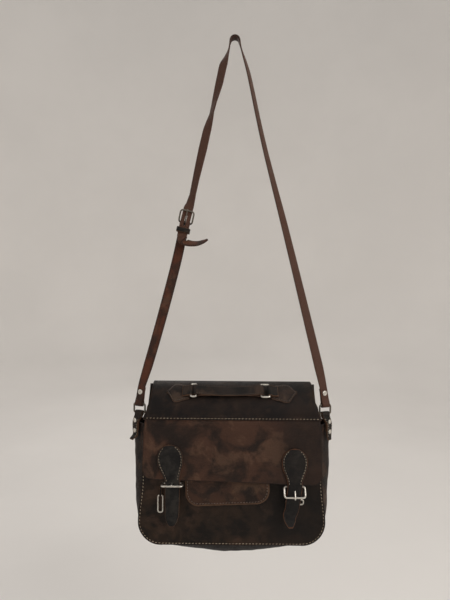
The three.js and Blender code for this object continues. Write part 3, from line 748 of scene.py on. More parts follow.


# its shade setting paints shade on the body, darker towards the bag's right
body_leather = leather(
    "body_leather", (0.024, 0.0135, 0.0078), (0.005, 0.0034, 0.0025), (0.0504, 0.0273, 0.0168),
    rim=(0.0067, 0.0042, 0.0034), rim_wide=1.4, patch=0.5, rub_and_sheen=0.6, groove=3.2,
    shade=("X", 0, 90, 0.75), seed=1
)
# its shade setting paints shade on the gusset, darker towards the bag's bottom
gusset_leather = leather(
    "gusset_leather", (0.0163, 0.0091, 0.0062), (0.0048, 0.0034, 0.0029), (0.0672, 0.036, 0.0216),
    rim=(0.0528, 0.0264, 0.0154), rim_wide=1.8, patch=0.5, rub_and_sheen=0.5, crease=0.9,
    shade=("Z", 45, 10, 0.9), seed=2
)
yoke_leather = leather(
    "yoke_leather", (0.0137, 0.0076, 0.0053), (0.0046, 0.003, 0.0027), (0.0418, 0.0228, 0.0144),
    rim=(0.0494, 0.0266, 0.016), rim_wide=1.2, patch=0.45, rub_and_sheen=0.35, groove=4.2, crease=0.6, seed=3
)
# its shade setting paints shade on the flap, darker towards the flap's right
flap_leather = leather(
    "flap_leather", (0.0515, 0.0235, 0.014), (0.0112, 0.0067, 0.005), (0.1064, 0.056, 0.0336),
    rim=(0.0123, 0.0073, 0.0056), rim_wide=1.8, rim_share=0.9, patch=0.5, patch_size=60, rub_and_sheen=0.5,
    crease=0.7, shade=("X", 50, 125, 0.8), seed=4
)
# its wide pale rim is partly the raw cut edge and partly a painted highlight along the pocket's raised edge
pocket_leather = leather(
    "pocket_leather", (0.0425, 0.02, 0.012), (0.011, 0.0065, 0.005), (0.105, 0.0575, 0.033),
    rim=(0.1, 0.055, 0.0325), rim_wide=3.6, rim_share=0.65, patch=0.45, rub_and_sheen=0.45, seed=5
)
billet_leather = leather(
    "billet_leather", (0.020, 0.018, 0.0155), (0.005, 0.0045, 0.0045), (0.0425, 0.035, 0.03),
    rim=(0.08, 0.0375, 0.019), rim_wide=0.9, rim_share=0.75, patch=0.4, patch_size=20, rub_and_sheen=0.35,
    groove=3.0, flesh=(0.15, 0.065, 0.0275), crease=0.7, seed=6
)
# the right billet's copy of billet_leather: its darker base is painted shade on the bag's right side, its
# orange rim the worn cut edge
worn_billet_leather_in_painted_shade = leather(
    "worn_billet_leather_in_painted_shade", (0.011, 0.0088, 0.0075), (0.005, 0.0045, 0.0045), (0.0425, 0.035, 0.03),
    rim=(0.15, 0.056, 0.024), rim_wide=1.2, rim_share=0.6, patch=0.4, patch_size=20, rub_and_sheen=0.3,
    groove=3.4, flesh=(0.15, 0.065, 0.0275), crease=0.7, seed=16
)
strap_leather = leather(
    "strap_leather", (0.078, 0.0235, 0.0115), (0.0274, 0.013, 0.0086), (0.1584, 0.0756, 0.0432),
    rim=(0.0216, 0.0108, 0.0079), rim_wide=2.0, rim_share=0.85, patch=0.42, patch_size=26, rub_and_sheen=0.3,
    groove=2.6, flesh=(0.0756, 0.0338, 0.0216), crease=0.6, coat=0.03, rough=(0.36, 0.6), seed=7
)
handle_leather = leather(
    "handle_leather", (0.0161, 0.0112, 0.0093), (0.0056, 0.0043, 0.0037), (0.0744, 0.0434, 0.0279),
    rim=(0.093, 0.0496, 0.031), rim_wide=1.0, rim_share=0.6, patch=0.4, rub_and_sheen=0.4, groove=2.6, seed=8
)
tab_leather = leather(
    "tab_leather", (0.0143, 0.0105, 0.0088), (0.005, 0.0044, 0.0039), (0.055, 0.033, 0.022),
    rim=(0.0935, 0.0468, 0.0248), rim_wide=1.0, rim_share=0.8, patch=0.4, rub_and_sheen=0.4,
    flesh=(0.088, 0.044, 0.0248), seed=9
)
patch_leather = leather(
    "patch_leather", (0.03, 0.018, 0.013), (0.009, 0.006, 0.005), (0.08, 0.05, 0.034),
    rim=(0.075, 0.0425, 0.0275), rim_wide=1.4, rim_share=0.6, patch=0.4, rub_and_sheen=0.5, groove=2.8, seed=10
)
nickel = metal("nickel", (0.70, 0.67, 0.61), (0.16, 0.12, 0.08), grime=0.55)
antique = metal("antique_metal", (0.17, 0.15, 0.125), (0.05, 0.04, 0.03), rough=(0.28, 0.5), grime=0.7)
pale_thread = thread("pale_thread", (0.52, 0.42, 0.30), (0.22, 0.15, 0.095))
dark_thread = thread("dark_thread", (0.12, 0.075, 0.05), (0.04, 0.025, 0.018))

# ---------------------------------------------------------------- bag body
BODY_CORNER = 42.0


def body_half(z):
    straight = graded([(42, 169), (115, 163), (222, 162), (284, 157)], z)
    rise = clamp(z, 0, BODY_CORNER)
    return straight - BODY_CORNER + math.sqrt(BODY_CORNER**2 - (BODY_CORNER - rise) ** 2)


def slack(x, z, depth, seed):
    """How far an empty panel sags inwards: nothing at its sewn edge."""
    inside = ease(clamp((body_half(z) - abs(x)) / 34) * clamp(z / 34))
    wave = 0.55 + 0.45 * smooth_noise((x, 0, z), 0.011, seed) + 0.22 * smooth_noise((x, 0, z), 0.03, seed)
    return depth * inside * max(wave, 0.0)


def front_face_at(x, z):
    return FRONT_FACE + LEATHER / 2 + slack(x, z, 3.2, 1.7)


def back_face_at(x, z):
    return BACK_FACE - LEATHER / 2 - slack(x, z, 2.0, 4.1)


front = Panel(0, PANEL_TOP, body_half, front_face_at, LEATHER, columns=72, rows=52)
front.piece("front_leather", "bag", body_leather, stand_for=["front_panel"], slot="dark_leather")
back = Panel(0, BACK_TOP, body_half, back_face_at, LEATHER, columns=60, rows=52)
back.piece("back_leather", "bag", body_leather, stand_for=["back_panel"], slot="dark_leather")
stitches("front_stitches", [front.run(3.2)], "bag", pale_thread)
stitches("back_stitches", [back.run(3.2, layer=1), back.run(4.0, "top", layer=1)], "bag", pale_thread)

# half of the gusset's line, from its top down: x, z and how far it bows outwards
GUSSET_EDGE = [
    (160.2, PANEL_TOP, 20), (160.6, 170, 18.5), (161.2, 115, 16), (165.5, 66, 10), (164.6, 42, 6.5),
    (159, 23, 5), (147, 10, 5), (128, 3.2, 7), (105, 1.8, 12), (60, 1.8, 20), (0, 1.8, 24),
]


def gusset_piece():
    stops = [(-x, bow, z) for x, z, bow in GUSSET_EDGE] + [(x, bow, z) for x, z, bow in GUSSET_EDGE[-2::-1]]
    path, _ = curve_through([(x, 0, z) for x, _, z in stops])
    bows, _ = curve_through(stops)
    inner, outer = FRONT_FACE + LEATHER + GAP, BACK_FACE - LEATHER - GAP
    long, wide = 260, 16
    verts, edge, side = [], [], []
    for layer in (0.5, -0.5):
        for i in range(long + 1):
            t = i / long
            a, b = path(max(t - 1e-4, 0)), path(min(t + 1e-4, 1))
            tangent = (b - a) / np.linalg.norm(b - a)
            out = np.array([tangent[2], 0, -tangent[0]])
            p = path(t)
            bow = bows(t)[1]
            for j in range(wide + 1):
                u = j / wide
                crown = math.sin(math.pi * u)
                ripple = 1.5 * crown * smooth_noise((p[0], u * 40, p[2]), 0.024, 9.1)
                ripple += 0.8 * crown * smooth_noise((p[0], u * 60, p[2]), 0.07, 2.1)
                q = p + out * (bow * crown + ripple + layer * LEATHER)
                q[1] = mix(inner, outer, u)
                verts.append(q)
                edge.append(min(u, 1 - u) * (outer - inner))
                side.append(2 * layer)
    make("gusset_leather", verts, shell_faces(long, wide), "bag", gusset_leather, edge=edge, side=side,
         stand_for=["gusset"], slot="dark_leather")


gusset_piece()

# ---------------------------------------------------------------- front pocket
POCKET = {"x": -7.0, "low": 78.0, "high": 164.0, "half": 75.0, "corner": 24.0, "face": -57.0, "lean": 0.076}
POCKET_TURN = turn("Y", -2.4)


def pocket_half(z):
    corner = POCKET["corner"]
    rise = clamp(z - POCKET["low"], 0, corner)
    return POCKET["half"] - corner + math.sqrt(corner**2 - (corner - rise) ** 2)


def pocket_front(z):
    return POCKET["face"] + (z - POCKET["low"]) * POCKET["lean"]


def pocket_at(x, z):
    high = (z - POCKET["low"]) / (POCKET["high"] - POCKET["low"])
    inside = max(0.0, 1 - (x / POCKET["half"]) ** 2) * min(1.0, max(high, 0) * 3)
    sag = 0.9 * inside * (0.6 + 0.5 * smooth_noise((x, 0, z), 0.02, 6.3))
    return pocket_front(z) + TRIM / 2 + sag


def in_pocket(p):
    q = POCKET_TURN @ Vector((p[0], p[1], p[2] - POCKET["low"]))
    return (q[0] + POCKET["x"], q[1], q[2] + POCKET["low"])


pocket = Panel(POCKET["low"], POCKET["high"], pocket_half, pocket_at, TRIM, columns=44, rows=30,
               place=in_pocket)
pocket.piece("pocket_front", "bag", pocket_leather, stand_for=["pocket_panel"], slot="pocket_leather")
stitches("pocket_stitches", [pocket.run(4.2), pocket.run(6.0, "top")], "bag", dark_thread,
         pitch=5.2, long=3.4)


def pocket_wall():
    """The strip that joins the pocket's front to the panel, set in a little from the pocket's edge."""
    inset = 1.2
    half, corner, low, high = POCKET["half"], POCKET["corner"], POCKET["low"], POCKET["high"]

    def bend(centre, start):
        turns = [math.radians(start + 90 * k / 12) for k in range(1, 12)]
        reach = corner - inset
        return [(centre + reach * math.cos(a), low + corner + reach * math.sin(a)) for a in turns]

    heights = [high, mix(high, low + corner, 0.5), low + corner]
    edge_line = [(-half + inset, z) for z in heights]
    edge_line += bend(corner - half, 180)
    edge_line += [(mix(corner - half, half - corner, k / 8), low + inset) for k in range(9)]
    edge_line += bend(half - corner, 270)
    edge_line += [(half - inset, z) for z in reversed(heights)]
    stops = []
    for x, z in edge_line:
        front_y = pocket_front(z) + TRIM + GAP
        back_y = FRONT_FACE - GAP
        stops.append(((x, (front_y + back_y) / 2, z), (0, 1, 0), back_y - front_y))
    strip = Strip(stops, TRIM, sub=2, across=6)
    strip.verts = np.array([in_pocket(p) for p in strip.verts])
    strip.piece("pocket_wall", "bag", pocket_leather, stand_for=["pocket_gusset"], slot="pocket_leather")


pocket_wall()


# ---------------------------------------------------------------- curved top and flap
SKIRT_SHARE = 0.94      # how far down the curved top its skirt begins
SEAM_SHARE = 0.952      # how far down the curved top its seam runs
SEAM_PROUD = 0.9        # how far the leather stands up at that seam
YOKE_ARC = 96.0         # about the curved top's length from its back edge to its skirt's edge


def yoke_half(height):
    return graded([(SEAM, 159.5), (246, 154), (262, 149)], height)


def yoke_at(s, lift=0.0):
    """A point lift above the curved top's middle layer, for s from 0 at its back edge to 1 at its skirt's
    edge, and the outward direction there."""
    rise = YOKE_TOP - SEAM
    t = min(s / SKIRT_SHARE, 1.0) * math.pi / 2
    drop = max(s - SKIRT_SHARE, 0) / (1 - SKIRT_SHARE) * YOKE_SKIRT
    normal = np.array([-math.sin(t) * rise, math.cos(t) * YOKE_DEPTH])
    normal /= np.linalg.norm(normal)
    y = HINGE_Y - YOKE_DEPTH * math.sin(t) + normal[0] * (lift - LEATHER / 2)
    z = SEAM + rise * math.cos(t) - drop + normal[1] * (lift - LEATHER / 2)
    return y, z, normal


def yoke_piece():
    long, wide = 46, 80
    verts, edge, side = [], [], []
    for layer in (0.5, -0.5):
        for i in range(long + 1):
            s = i / long
            z0 = yoke_at(s)[1]
            for j in range(wide + 1):
                u = -1 + 2 * j / wide
                x = u * yoke_half(z0)
                sag = 0.7 * smooth_noise((x, s * 90, 3), 0.018, 5.5) * math.sin(math.pi * s)
                sag -= 0.44 * math.exp(-((x / 150) ** 8)) * math.sin(math.pi * s)
                proud = SEAM_PROUD if s > 0.93 and layer > 0 else 0.0
                y, z, _ = yoke_at(s, layer * LEATHER + sag + proud)
                verts.append((x, y, z))
                edge.append(min((1 - abs(u)) * 155, (1 - s) * YOKE_ARC, s * YOKE_ARC))
                side.append(2 * layer)
    make("curved_top", verts, shell_faces(long, wide), "yoke", yoke_leather, edge=edge, side=side,
         stand_for=["yoke"], slot="dark_leather")
    y, z, normal = yoke_at(SEAM_SHARE, LEATHER / 2 + SEAM_PROUD)
    reach = yoke_half(z) - 4
    seam = [(np.array([(-1 + 2 * k / 240) * reach, y, z]), np.array([0, *normal])) for k in range(241)]
    stitches("curved_top_stitches", [seam], "yoke", pale_thread)


yoke_piece()


def flap_face(z):
    return HINGE_Y - YOKE_DEPTH - (FLAP_TOP - z) * FLAP_LEAN


def flap_half(z):
    rise = clamp(z - FLAP_LOW, 0, FLAP_CORNER)
    rounded = FLAP_CORNER - math.sqrt(FLAP_CORNER**2 - (FLAP_CORNER - rise) ** 2)
    return graded([(200, FLAP_HALF), (FLAP_TOP, FLAP_HALF - 2.5)], z) - rounded


def flap_at(x, z):
    """Middle of the flap's leather: it waves a little, and its top is tucked under the curved top."""
    tuck = ease(clamp((z - FLAP_TOP + 5) / 7))
    y = flap_face(min(z, FLAP_TOP)) + LEATHER / 2 + tuck * 1.9
    if z > FLAP_TOP:
        y += (z - FLAP_TOP) * 0.05
    low = clamp((FLAP_TOP - z) / 60)
    wave = smooth_noise((x, 0, z), 0.012, 7.7) * 1.3 + smooth_noise((x, 0, z), 0.035, 3.3) * 0.5
    corner = max(0.0, abs(x) - 118) / 42
    return y - low * (abs(wave) * 0.5 + max(wave, 0)) - 1.8 * corner**2 * max(0.0, (160 - z) / 40)


flap = Panel(FLAP_LOW, FLAP_TOP + 9, flap_half, flap_at, LEATHER, slant=FLAP_SLANT, columns=90, rows=40,
             power=1.25)
flap_skin = flap.piece("flap_leather", None, flap_leather, stand_for=["flap"], slot="dark_leather")
HINGE_LINE = row([(0, HINGE_Y - YOKE_DEPTH, FLAP_TOP + 0.3), (0, HINGE_Y - YOKE_DEPTH - 1, FLAP_TOP - 9)])
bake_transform(flap_skin)

# ---------------------------------------------------------------- billets, chapes, buckles, keeper links
HEEL_Y = -55.8          # the bars of the buckles
BILLET_WIDTH = 26.0
BUCKLE_WIDTH = 36.8
BUCKLE_REACH = 18.8     # from a buckle's bar to the far side of its frame
# top, heel and tip are (x, z) along a billet, the heel at the bar. curl is how far its tip stands off.
# swing is how far the buckle is turned. ring is the wire keeper's x and z, and whether it stands upright.
CLOSURES = [
    {"name": "left", "top": (-113, 184), "heel": (-105, 116.5), "tip": (-106, 43), "curl": 4, "swing": 95,
     "ring": (-128, 76.5, True), "leather": billet_leather},
    {"name": "right", "top": (111, 179), "heel": (111, 112), "tip": (102.5, 46), "curl": 12, "swing": 29,
     "ring": (113, 81, False), "leather": worn_billet_leather_in_painted_shade},
]


def folded(bar, away, side, reach, back, wire_radius, slack_room, thickness, width):
    """Stops of a strip that is folded round a bar and lies double."""
    e, s = np.array(away, float), np.array(side, float)
    e /= np.linalg.norm(e)
    n = np.cross(s, e)
    n /= np.linalg.norm(n)
    r = wire_radius + slack_room + thickness / 2
    apart = (thickness + GAP) / 2
    q = r * math.sqrt(0.5)
    near = mix(apart, r, 0.6)
    rows = [(back, apart), (r * 2.4, apart), (r * 1.1, near), (0, r), (-q, q), (-r, 0), (-q, -q),
            (0, -r), (r * 1.1, -near), (r * 2.4, -apart), (reach, -apart)]
    return [(np.array(bar, float) + e * a + n * b, side, width) for a, b in rows]


TEARDROP = 62.0         # the stitched, teardrop part of a billet


def billet_stops(closure):
    top_x, top_z = closure["top"]
    heel_x, heel_z = closure["heel"]
    tip_x, tip_z = closure["tip"]
    curl = closure["curl"]
    side = (1, 0, 0)
    threaded = HEEL_Y - 6.1
    drop = top_z - heel_z
    shape = [(0, 5), (0.025, 17), (0.06, 26), (0.13, 36), (0.24, 44), (0.38, 46), (0.54, 42), (0.7, 33),
             (0.85, BILLET_WIDTH)]
    stops = []
    for k, width in shape:
        z = top_z - k * drop
        stops.append(((mix(top_x, heel_x, k), flap_face(z) - 0.7 - TRIM / 2 - 0.6, z), side, width))
    stops += [
        ((heel_x, threaded, heel_z), side, BILLET_WIDTH),
        ((mix(heel_x, tip_x, 0.25), threaded, heel_z - 16), side, BILLET_WIDTH),
        ((mix(heel_x, tip_x, 0.6), threaded + 2, mix(heel_z, tip_z, 0.6)), side, BILLET_WIDTH - 1),
        ((tip_x, threaded + 2, tip_z + 16), side, BILLET_WIDTH - 2),
        ((tip_x, threaded + 2 - curl * 0.4, tip_z + 7), side, BILLET_WIDTH - 7),
        ((tip_x, threaded + 2 - curl, tip_z), side, 8),
    ]
    return stops


def prong_points(eye, way, shank, reach, tip):
    """A prong's wire: bent round its bar, then straight over the frame. way is 1 for up, -1 for down."""
    route = [(eye, 1), (eye * 0.8, -eye * 0.6), (0, -eye), (-eye * 0.8, -eye * 0.6), (-eye, 1),
             (-eye, shank), (-eye, reach), (-eye + 0.6, reach + tip)]
    return wire_points([(0, y, way * z) for y, z in route])


for closure in CLOSURES:
    name = closure["name"]
    heel_x, heel_z = closure["heel"]
    strip = Strip(billet_stops(closure), TRIM, sub=6, across=12, round_off=0.6, dome=0.5)
    outward = strip.grain_towards((0, -1, 0), 30)
    strip.piece(f"{name}_billet_leather", "flap", closure["leather"], stand_for=[f"{name}_billet"],
                slot="black_leather")
    stitches(f"{name}_billet_stitches", strip.border(3.0, 4.0, TEARDROP, outward), "flap", pale_thread,
             pitch=4.6, long=3.3, thick=0.38)

    chape_fold = folded((heel_x, HEEL_Y, heel_z), (0, 9, 38), (1, 0, 0), 39, 39, WIRE, 0.5, 1.5, 24)
    chape = Strip(chape_fold, 1.5, sub=4, across=8, round_off=0.5)
    chape.piece(f"{name}_chape_leather", "bag", tab_leather, stand_for=[f"{name}_chape"],
                slot="dark_leather")

    pivot = shift(heel_x, HEEL_Y, heel_z) @ turn("X", -closure["swing"])
    frame_line = moved(loop_points(BUCKLE_WIDTH, BUCKLE_REACH, 4), pivot @ shift(0, 0, -BUCKLE_REACH / 2))
    make(f"{name}_buckle_wire", *tube(frame_line, WIRE, closed=True), f"{name}_buckle", nickel,
         stand_for=[f"{name}_buckle_frame"], slot="bare_metal")
    prong = prong_points(3.15, -1, 8, BUCKLE_REACH, 3.4)
    make(f"{name}_prong_wire", *tube(moved(prong, pivot), 1.2, sides=12), f"{name}_prong", nickel,
         stand_for=[f"{name}_buckle_prong"], slot="bare_metal")

    x, z, upright = closure["ring"]
    wide, tall = (8.6, 30.6) if upright else (30.6, 8.6)
    ring_y = FRONT_FACE - 4.4
    link = moved(loop_points(wide, tall, 3.5), shift(x, ring_y, z))
    make(f"{name}_keeper_wire", *tube(link, 1.2, sides=12, closed=True), f"{name}_keeper", nickel,
         stand_for=[f"{name}_keeper_ring"], slot="bare_metal")
    tab_width = 4 if upright else 14
    tab_fold = folded((x, ring_y, z + tall / 2), (0, 1, 6), (1, 0, 0), 15, 15, 1.2, 0.6, 1, tab_width)
    tab = Strip(tab_fold, 1.0, sub=4, across=6, round_off=0.4)
    tab.piece(f"{name}_keeper_loop", "bag", tab_leather, stand_for=[f"{name}_keeper_tab"],
              slot="dark_leather")

# ---------------------------------------------------------------- handle
HANDLE_SLOPE = 42.0
ANCHOR_TURN = math.radians(HANDLE_SLOPE)
RISE = YOKE_TOP - SEAM
SLOPE = math.degrees(math.atan2(math.sin(ANCHOR_TURN) * RISE, math.cos(ANCHOR_TURN) * YOKE_DEPTH))
ANCHOR_Y = HINGE_Y - YOKE_DEPTH * math.sin(ANCHOR_TURN)
ANCHOR_Z = SEAM + RISE * math.cos(ANCHOR_TURN)
ANCHOR = shift(0, ANCHOR_Y, ANCHOR_Z) @ turn("X", SLOPE)
YOKE_RADIUS = 57.0
LIFT = 6.2
HANDLE_WIDTH = 22.0
LEFT_BAR, RIGHT_BAR = -66.0, 52.0


def on_yoke(x, v, lift):
    """A point lift above the curved top, v along its curve from the handle's line."""
    a = v / YOKE_RADIUS
    return (x, math.sin(a) * (YOKE_RADIUS + lift), (YOKE_RADIUS + lift) * math.cos(a) - YOKE_RADIUS)


def handle_patch(name, sign, point, edge_x):
    """Shield-shaped patch, pointed away from the handle."""
    def half(k):
        return graded([(0, 14), (0.3, 17), (0.5, 20), (0.62, 20), (1, 2.5)], k)

    def above(x, v, lift):
        return np.array(ANCHOR @ Vector(on_yoke(sign * abs(x), v, lift)))

    nu, nv = 40, 22
    upper = [(mix(edge_x, point, k / 60), half(k / 60)) for k in range(61)]
    outline = resample(np.array(upper + [(x, -v) for x, v in reversed(upper)]), 1.2)
    verts, edge, side, flat = [], [], [], []
    for layer in (0.5, -0.5):
        for i in range(nu + 1):
            k = i / nu
            for j in range(nv + 1):
                v = (-1 + 2 * j / nv) * half(k)
                flat.append((mix(edge_x, point, k), v))
                side.append(2 * layer)
    distance = distance_to(np.array(flat), outline)
    for (x, v), d, s in zip(flat, distance, side):
        soft = 0.45 * (1 - min(d / 1.6, 1.0)) ** 2
        lift = GAP + TRIM / 2 + s * (TRIM / 2 - (soft if s > 0 else 0))
        lift += 0.35 * smooth_noise((x, v, 0), 0.05, 8.8) if s > 0 else 0
        verts.append(above(x, v, lift))
        edge.append(d)
    make(f"{name}_patch_leather", verts, shell_faces(nu, nv), "yoke", patch_leather, edge=edge, side=side,
         stand_for=[f"{name}_handle_patch"], slot="dark_leather")
    run = [(mix(edge_x, point, k / 100), half(k / 100) - 3.0) for k in range(4, 97)]
    run = [(x, v) for x, v in run if v > 0.3]
    path = []
    for x, v in run + [(x, -v) for x, v in reversed(run)]:
        p = above(x, v, GAP + TRIM)
        path.append((p, above(x, v, GAP + TRIM + 1) - p))
    stitches(f"{name}_patch_stitches", [path], "yoke", dark_thread, pitch=4.6, long=3.4, thick=0.4)


for name, sign, bar, span, point, edge_x in (("left", -1, LEFT_BAR, 9.5, 120.0, 78.0),
                                             ("right", 1, RIGHT_BAR, 15.0, 118.0, 71.0)):
    handle_patch(name, sign, point, edge_x)
    outer = bar + sign * span
    stops = folded((outer, 0, LIFT), (sign, 0, -0.12), (0, 1, 0), 16, 16, WIRE, 0.5, 1.2, HANDLE_WIDTH)
    stops = [(moved([p], ANCHOR)[0], tuple(ANCHOR.to_3x3() @ Vector(s)), w) for p, s, w in stops]
    loop = Strip(stops, 1.2, sub=4, across=8, round_off=0.4)
    loop.piece(f"{name}_loop_leather", "yoke", tab_leather, stand_for=[f"{name}_handle_loop"],
               slot="dark_leather")
    ring = [(p[2], p[0], 0) for p in loop_points(27.5, span, 2.5)]
    ring = moved(ring, ANCHOR @ shift((bar + outer) / 2, 0, LIFT))
    make(f"{name}_handle_wire", *tube(ring, WIRE, closed=True), f"{name}_handle_ring", nickel,
         stand_for=[f"{name}_handle_ring"], slot="bare_metal")


def handle_stops():
    r = WIRE + 0.6 + TRIM / 2
    play = 1

    def stop(x, z, v=0.0):
        p = moved([(x, v, LIFT + z)], ANCHOR)[0]
        return (p, tuple(ANCHOR.to_3x3() @ Vector((0, 1, 0))), HANDLE_WIDTH)

    def fold(bar, sign):
        return [
            stop(bar - sign * 26, -1.2), stop(bar - sign * 9, -1.2), stop(bar - sign * 3, -r * 0.9),
            stop(bar, -r),
            stop(bar + sign * (play + r * 0.72), -r * 0.72), stop(bar + sign * (play + r), 0),
            stop(bar + sign * (play + r * 0.72), r * 0.72), stop(bar, r), stop(bar - sign * 4, r * 0.95),
            stop(bar - sign * 12, 1.8), stop(bar - sign * 30, 1.4, -1),
        ]

    middle = stop((LEFT_BAR + RIGHT_BAR) / 2, 1.6, -2.2)
    return fold(LEFT_BAR, -1) + [middle] + fold(RIGHT_BAR, 1)[::-1]


handle = Strip(handle_stops(), TRIM, sub=6, across=12, round_off=0.8, dome=0.7)
handle_face = handle.grain_towards(ANCHOR.to_3x3() @ Vector((0, 0, 1)), handle.length / 2)
handle.piece("handle_leather", "handle", handle_leather, stand_for=["handle_strap"], slot="black_leather")
stitches("handle_stitches", handle.border(2.6, 38, handle.length - 38, handle_face), "handle", dark_thread,
         pitch=4.4, long=3.2, thick=0.4)

# ---------------------------------------------------------------- side rings, side tabs, rivets
RING_X, RING_Y, RING_Z, RING_SPAN = 170.0, -30.0, 243.3, 16.5
STRAP_END = 15.5
STRAP_WIDTH = 18.0


def outward_at(sign, degrees):
    return np.array([math.sin(math.radians(degrees)) * sign, -math.cos(math.radians(degrees)), 0.0])


def rivet(name, position, out, radius, body, node):
    """A domed rivet head."""
    shape = [(1.0, -1.0), (1.0, 0.15), (0.97, 0.45), (0.88, 0.66), (0.72, 0.78), (0.5, 0.92), (0.25, 0.98),
             (0.0, 1.0)]
    out = np.array(out, float) / np.linalg.norm(out)
    u = np.cross(out, (0, 0, 1))
    u /= np.linalg.norm(u)
    w = np.cross(out, u)
    verts = []
    sides = 24
    for share, height in shape:
        for k in range(sides):
            a = math.tau * k / sides
            reach = max(share, 0.04) * radius
            verts.append(np.array(position) + (u * math.cos(a) + w * math.sin(a)) * reach + out * height)
    faces = band_faces(len(shape), sides)
    faces.append(tuple(range(sides)))
    faces.append(tuple((len(shape) - 1) * sides + k for k in range(sides)))
    make(name, verts, faces, body, nickel, stand_for=[node], slot="bare_metal")


for name, sign in (("left", -1), ("right", 1)):
    ring_place = shift(sign * RING_X, RING_Y, RING_Z) @ turn("Z", sign * 20)
    line = moved(loop_points(22.4, RING_SPAN, 3.2), ring_place)
    make(f"{name}_side_wire", *tube(line, WIRE, closed=True), "side_rings", antique,
         stand_for=[f"{name}_side_ring"], slot="dark_metal")
    low = RING_Z - RING_SPAN / 2
    turn_radius = WIRE + 0.9 + TRIM / 2
    apart = (TRIM + GAP) / 2
    core = [(low, 170, -30, 20), (low - 4, 170.8, -30.6, 22), (low - 9, 173, -32, 33),
            (low - 16, 175.7, -34.3, 45), (low - 30, 175.7, -34.3, 45), (low - 39, 175.6, -34.2, 45)]

    def layer(place, off, width=STRAP_END):
        z, x, y, degrees = place
        out = outward_at(sign, degrees)
        side = (math.cos(math.radians(degrees)), sign * math.sin(math.radians(degrees)), 0)
        return (np.array([sign * x, y, z]) + out * off, side, width)

    def over(rise, off):
        return layer((low + rise, 170, -30, 20), off)

    quarter = turn_radius * math.sqrt(0.5)
    flare = 9 if name == "left" else 1.5
    tip = (low - 46, 175.6 + flare * 0.7, -34.2 - flare * 0.7, 45)
    opening = ((4, 0), (3, 0), (2, 0.5), (1, 1.4))
    stops = [layer(core[k], -apart - wider) for k, wider in opening]
    stops += [over(0, -turn_radius), over(quarter, -quarter), over(turn_radius, 0), over(quarter, quarter),
              over(0, turn_radius)]
    stops += [layer(core[k], apart + wider) for k, wider in reversed(opening)]
    stops += [layer(core[5], apart, STRAP_END - 1), layer(tip, apart, STRAP_END - 6)]
    tab = Strip(stops, TRIM, sub=5, across=8, round_off=0.6, dome=0.3)
    tab_face = tab.grain_towards(outward_at(sign, 45), tab.length - 20)
    tab.piece(f"{name}_tab_leather", "bag", tab_leather, stand_for=[f"{name}_side_tab"], slot="dark_leather")
    stitches(f"{name}_tab_stitches", tab.border(2.2, tab.length - 42, tab.length - 6, tab_face), "bag",
             pale_thread, pitch=4.2, long=3.0, thick=0.35)
    face_off = apart + TRIM / 2 + 0.05
    for place, z, x, y, degrees, rise in (("upper", low - 12.5, 174.4, -33.2, 39, 2.1),
                                          ("lower", low - 31, 175.7, -34.3, 45, 0.25)):
        out = outward_at(sign, degrees)
        off = face_off + rise
        rivet(f"{name}_tab_stud_{place}", np.array([sign * x, y, z]) + out * (off + 0.3), out, 4.0, "bag",
              f"{name}_tab_rivet_{place}")

# ---------------------------------------------------------------- shoulder strap
BAR_TOP = RING_Z + RING_SPAN / 2
APEX_RADIUS = 8.9
ADJUSTER = (-88.0, -15.0, 596.0)
LEAN = math.radians(13)
HALF_ADJUSTER = 11.5
RUN_FACE = -6.1


def facing(x, y, z, degrees, width=STRAP_WIDTH):
    """A stop of the strap whose width lies level, turned by degrees from the bag's front."""
    return ((x, y, z), (math.cos(math.radians(degrees)), math.sin(math.radians(degrees)), 0), width)


def strap_end(sign):
    r = WIRE + 0.9 + LEATHER / 2
    apart = (LEATHER + GAP) / 2
    angle = math.radians(sign * 20)
    back = (-math.sin(angle), math.cos(angle))
    q = r * math.sqrt(0.5)

    def at(x, y, z, off, degrees):
        return facing(sign * x + back[0] * off, y + back[1] * off, z, sign * degrees, STRAP_END)

    # place beside the ring, height over its bar, how much wider the two layers stand apart, and turn
    opening = ((166.2, -28.6, 30, 0, 26), (167.6, -29, 21, 0, 24),
               (169, -29.5, 10, 0.4, 21), (170, -30, 4, 1.3, 20))
    round_bar = ((0, r), (q, q), (r, 0), (q, -q), (0, -r))
    stops = [at(x, y, BAR_TOP + rise, apart + wider, turned) for x, y, rise, wider, turned in opening]
    stops += [at(170, -30, BAR_TOP - drop, off, 20) for drop, off in round_bar]
    for x, y, rise, wider, turned in reversed(opening):
        stops.append(at(x, y, BAR_TOP + rise, -apart - wider, turned))
    return stops


def in_adjuster(x, y, z):
    """A point given beside the adjuster, which leans with the strap."""
    return (ADJUSTER[0] + x * math.cos(LEAN) + z * math.sin(LEAN), ADJUSTER[1] + y,
            ADJUSTER[2] - x * math.sin(LEAN) + z * math.cos(LEAN))


ACROSS = (math.cos(LEAN), 0, -math.sin(LEAN))
LEANING = Matrix.Rotation(LEAN, 4, "Y")


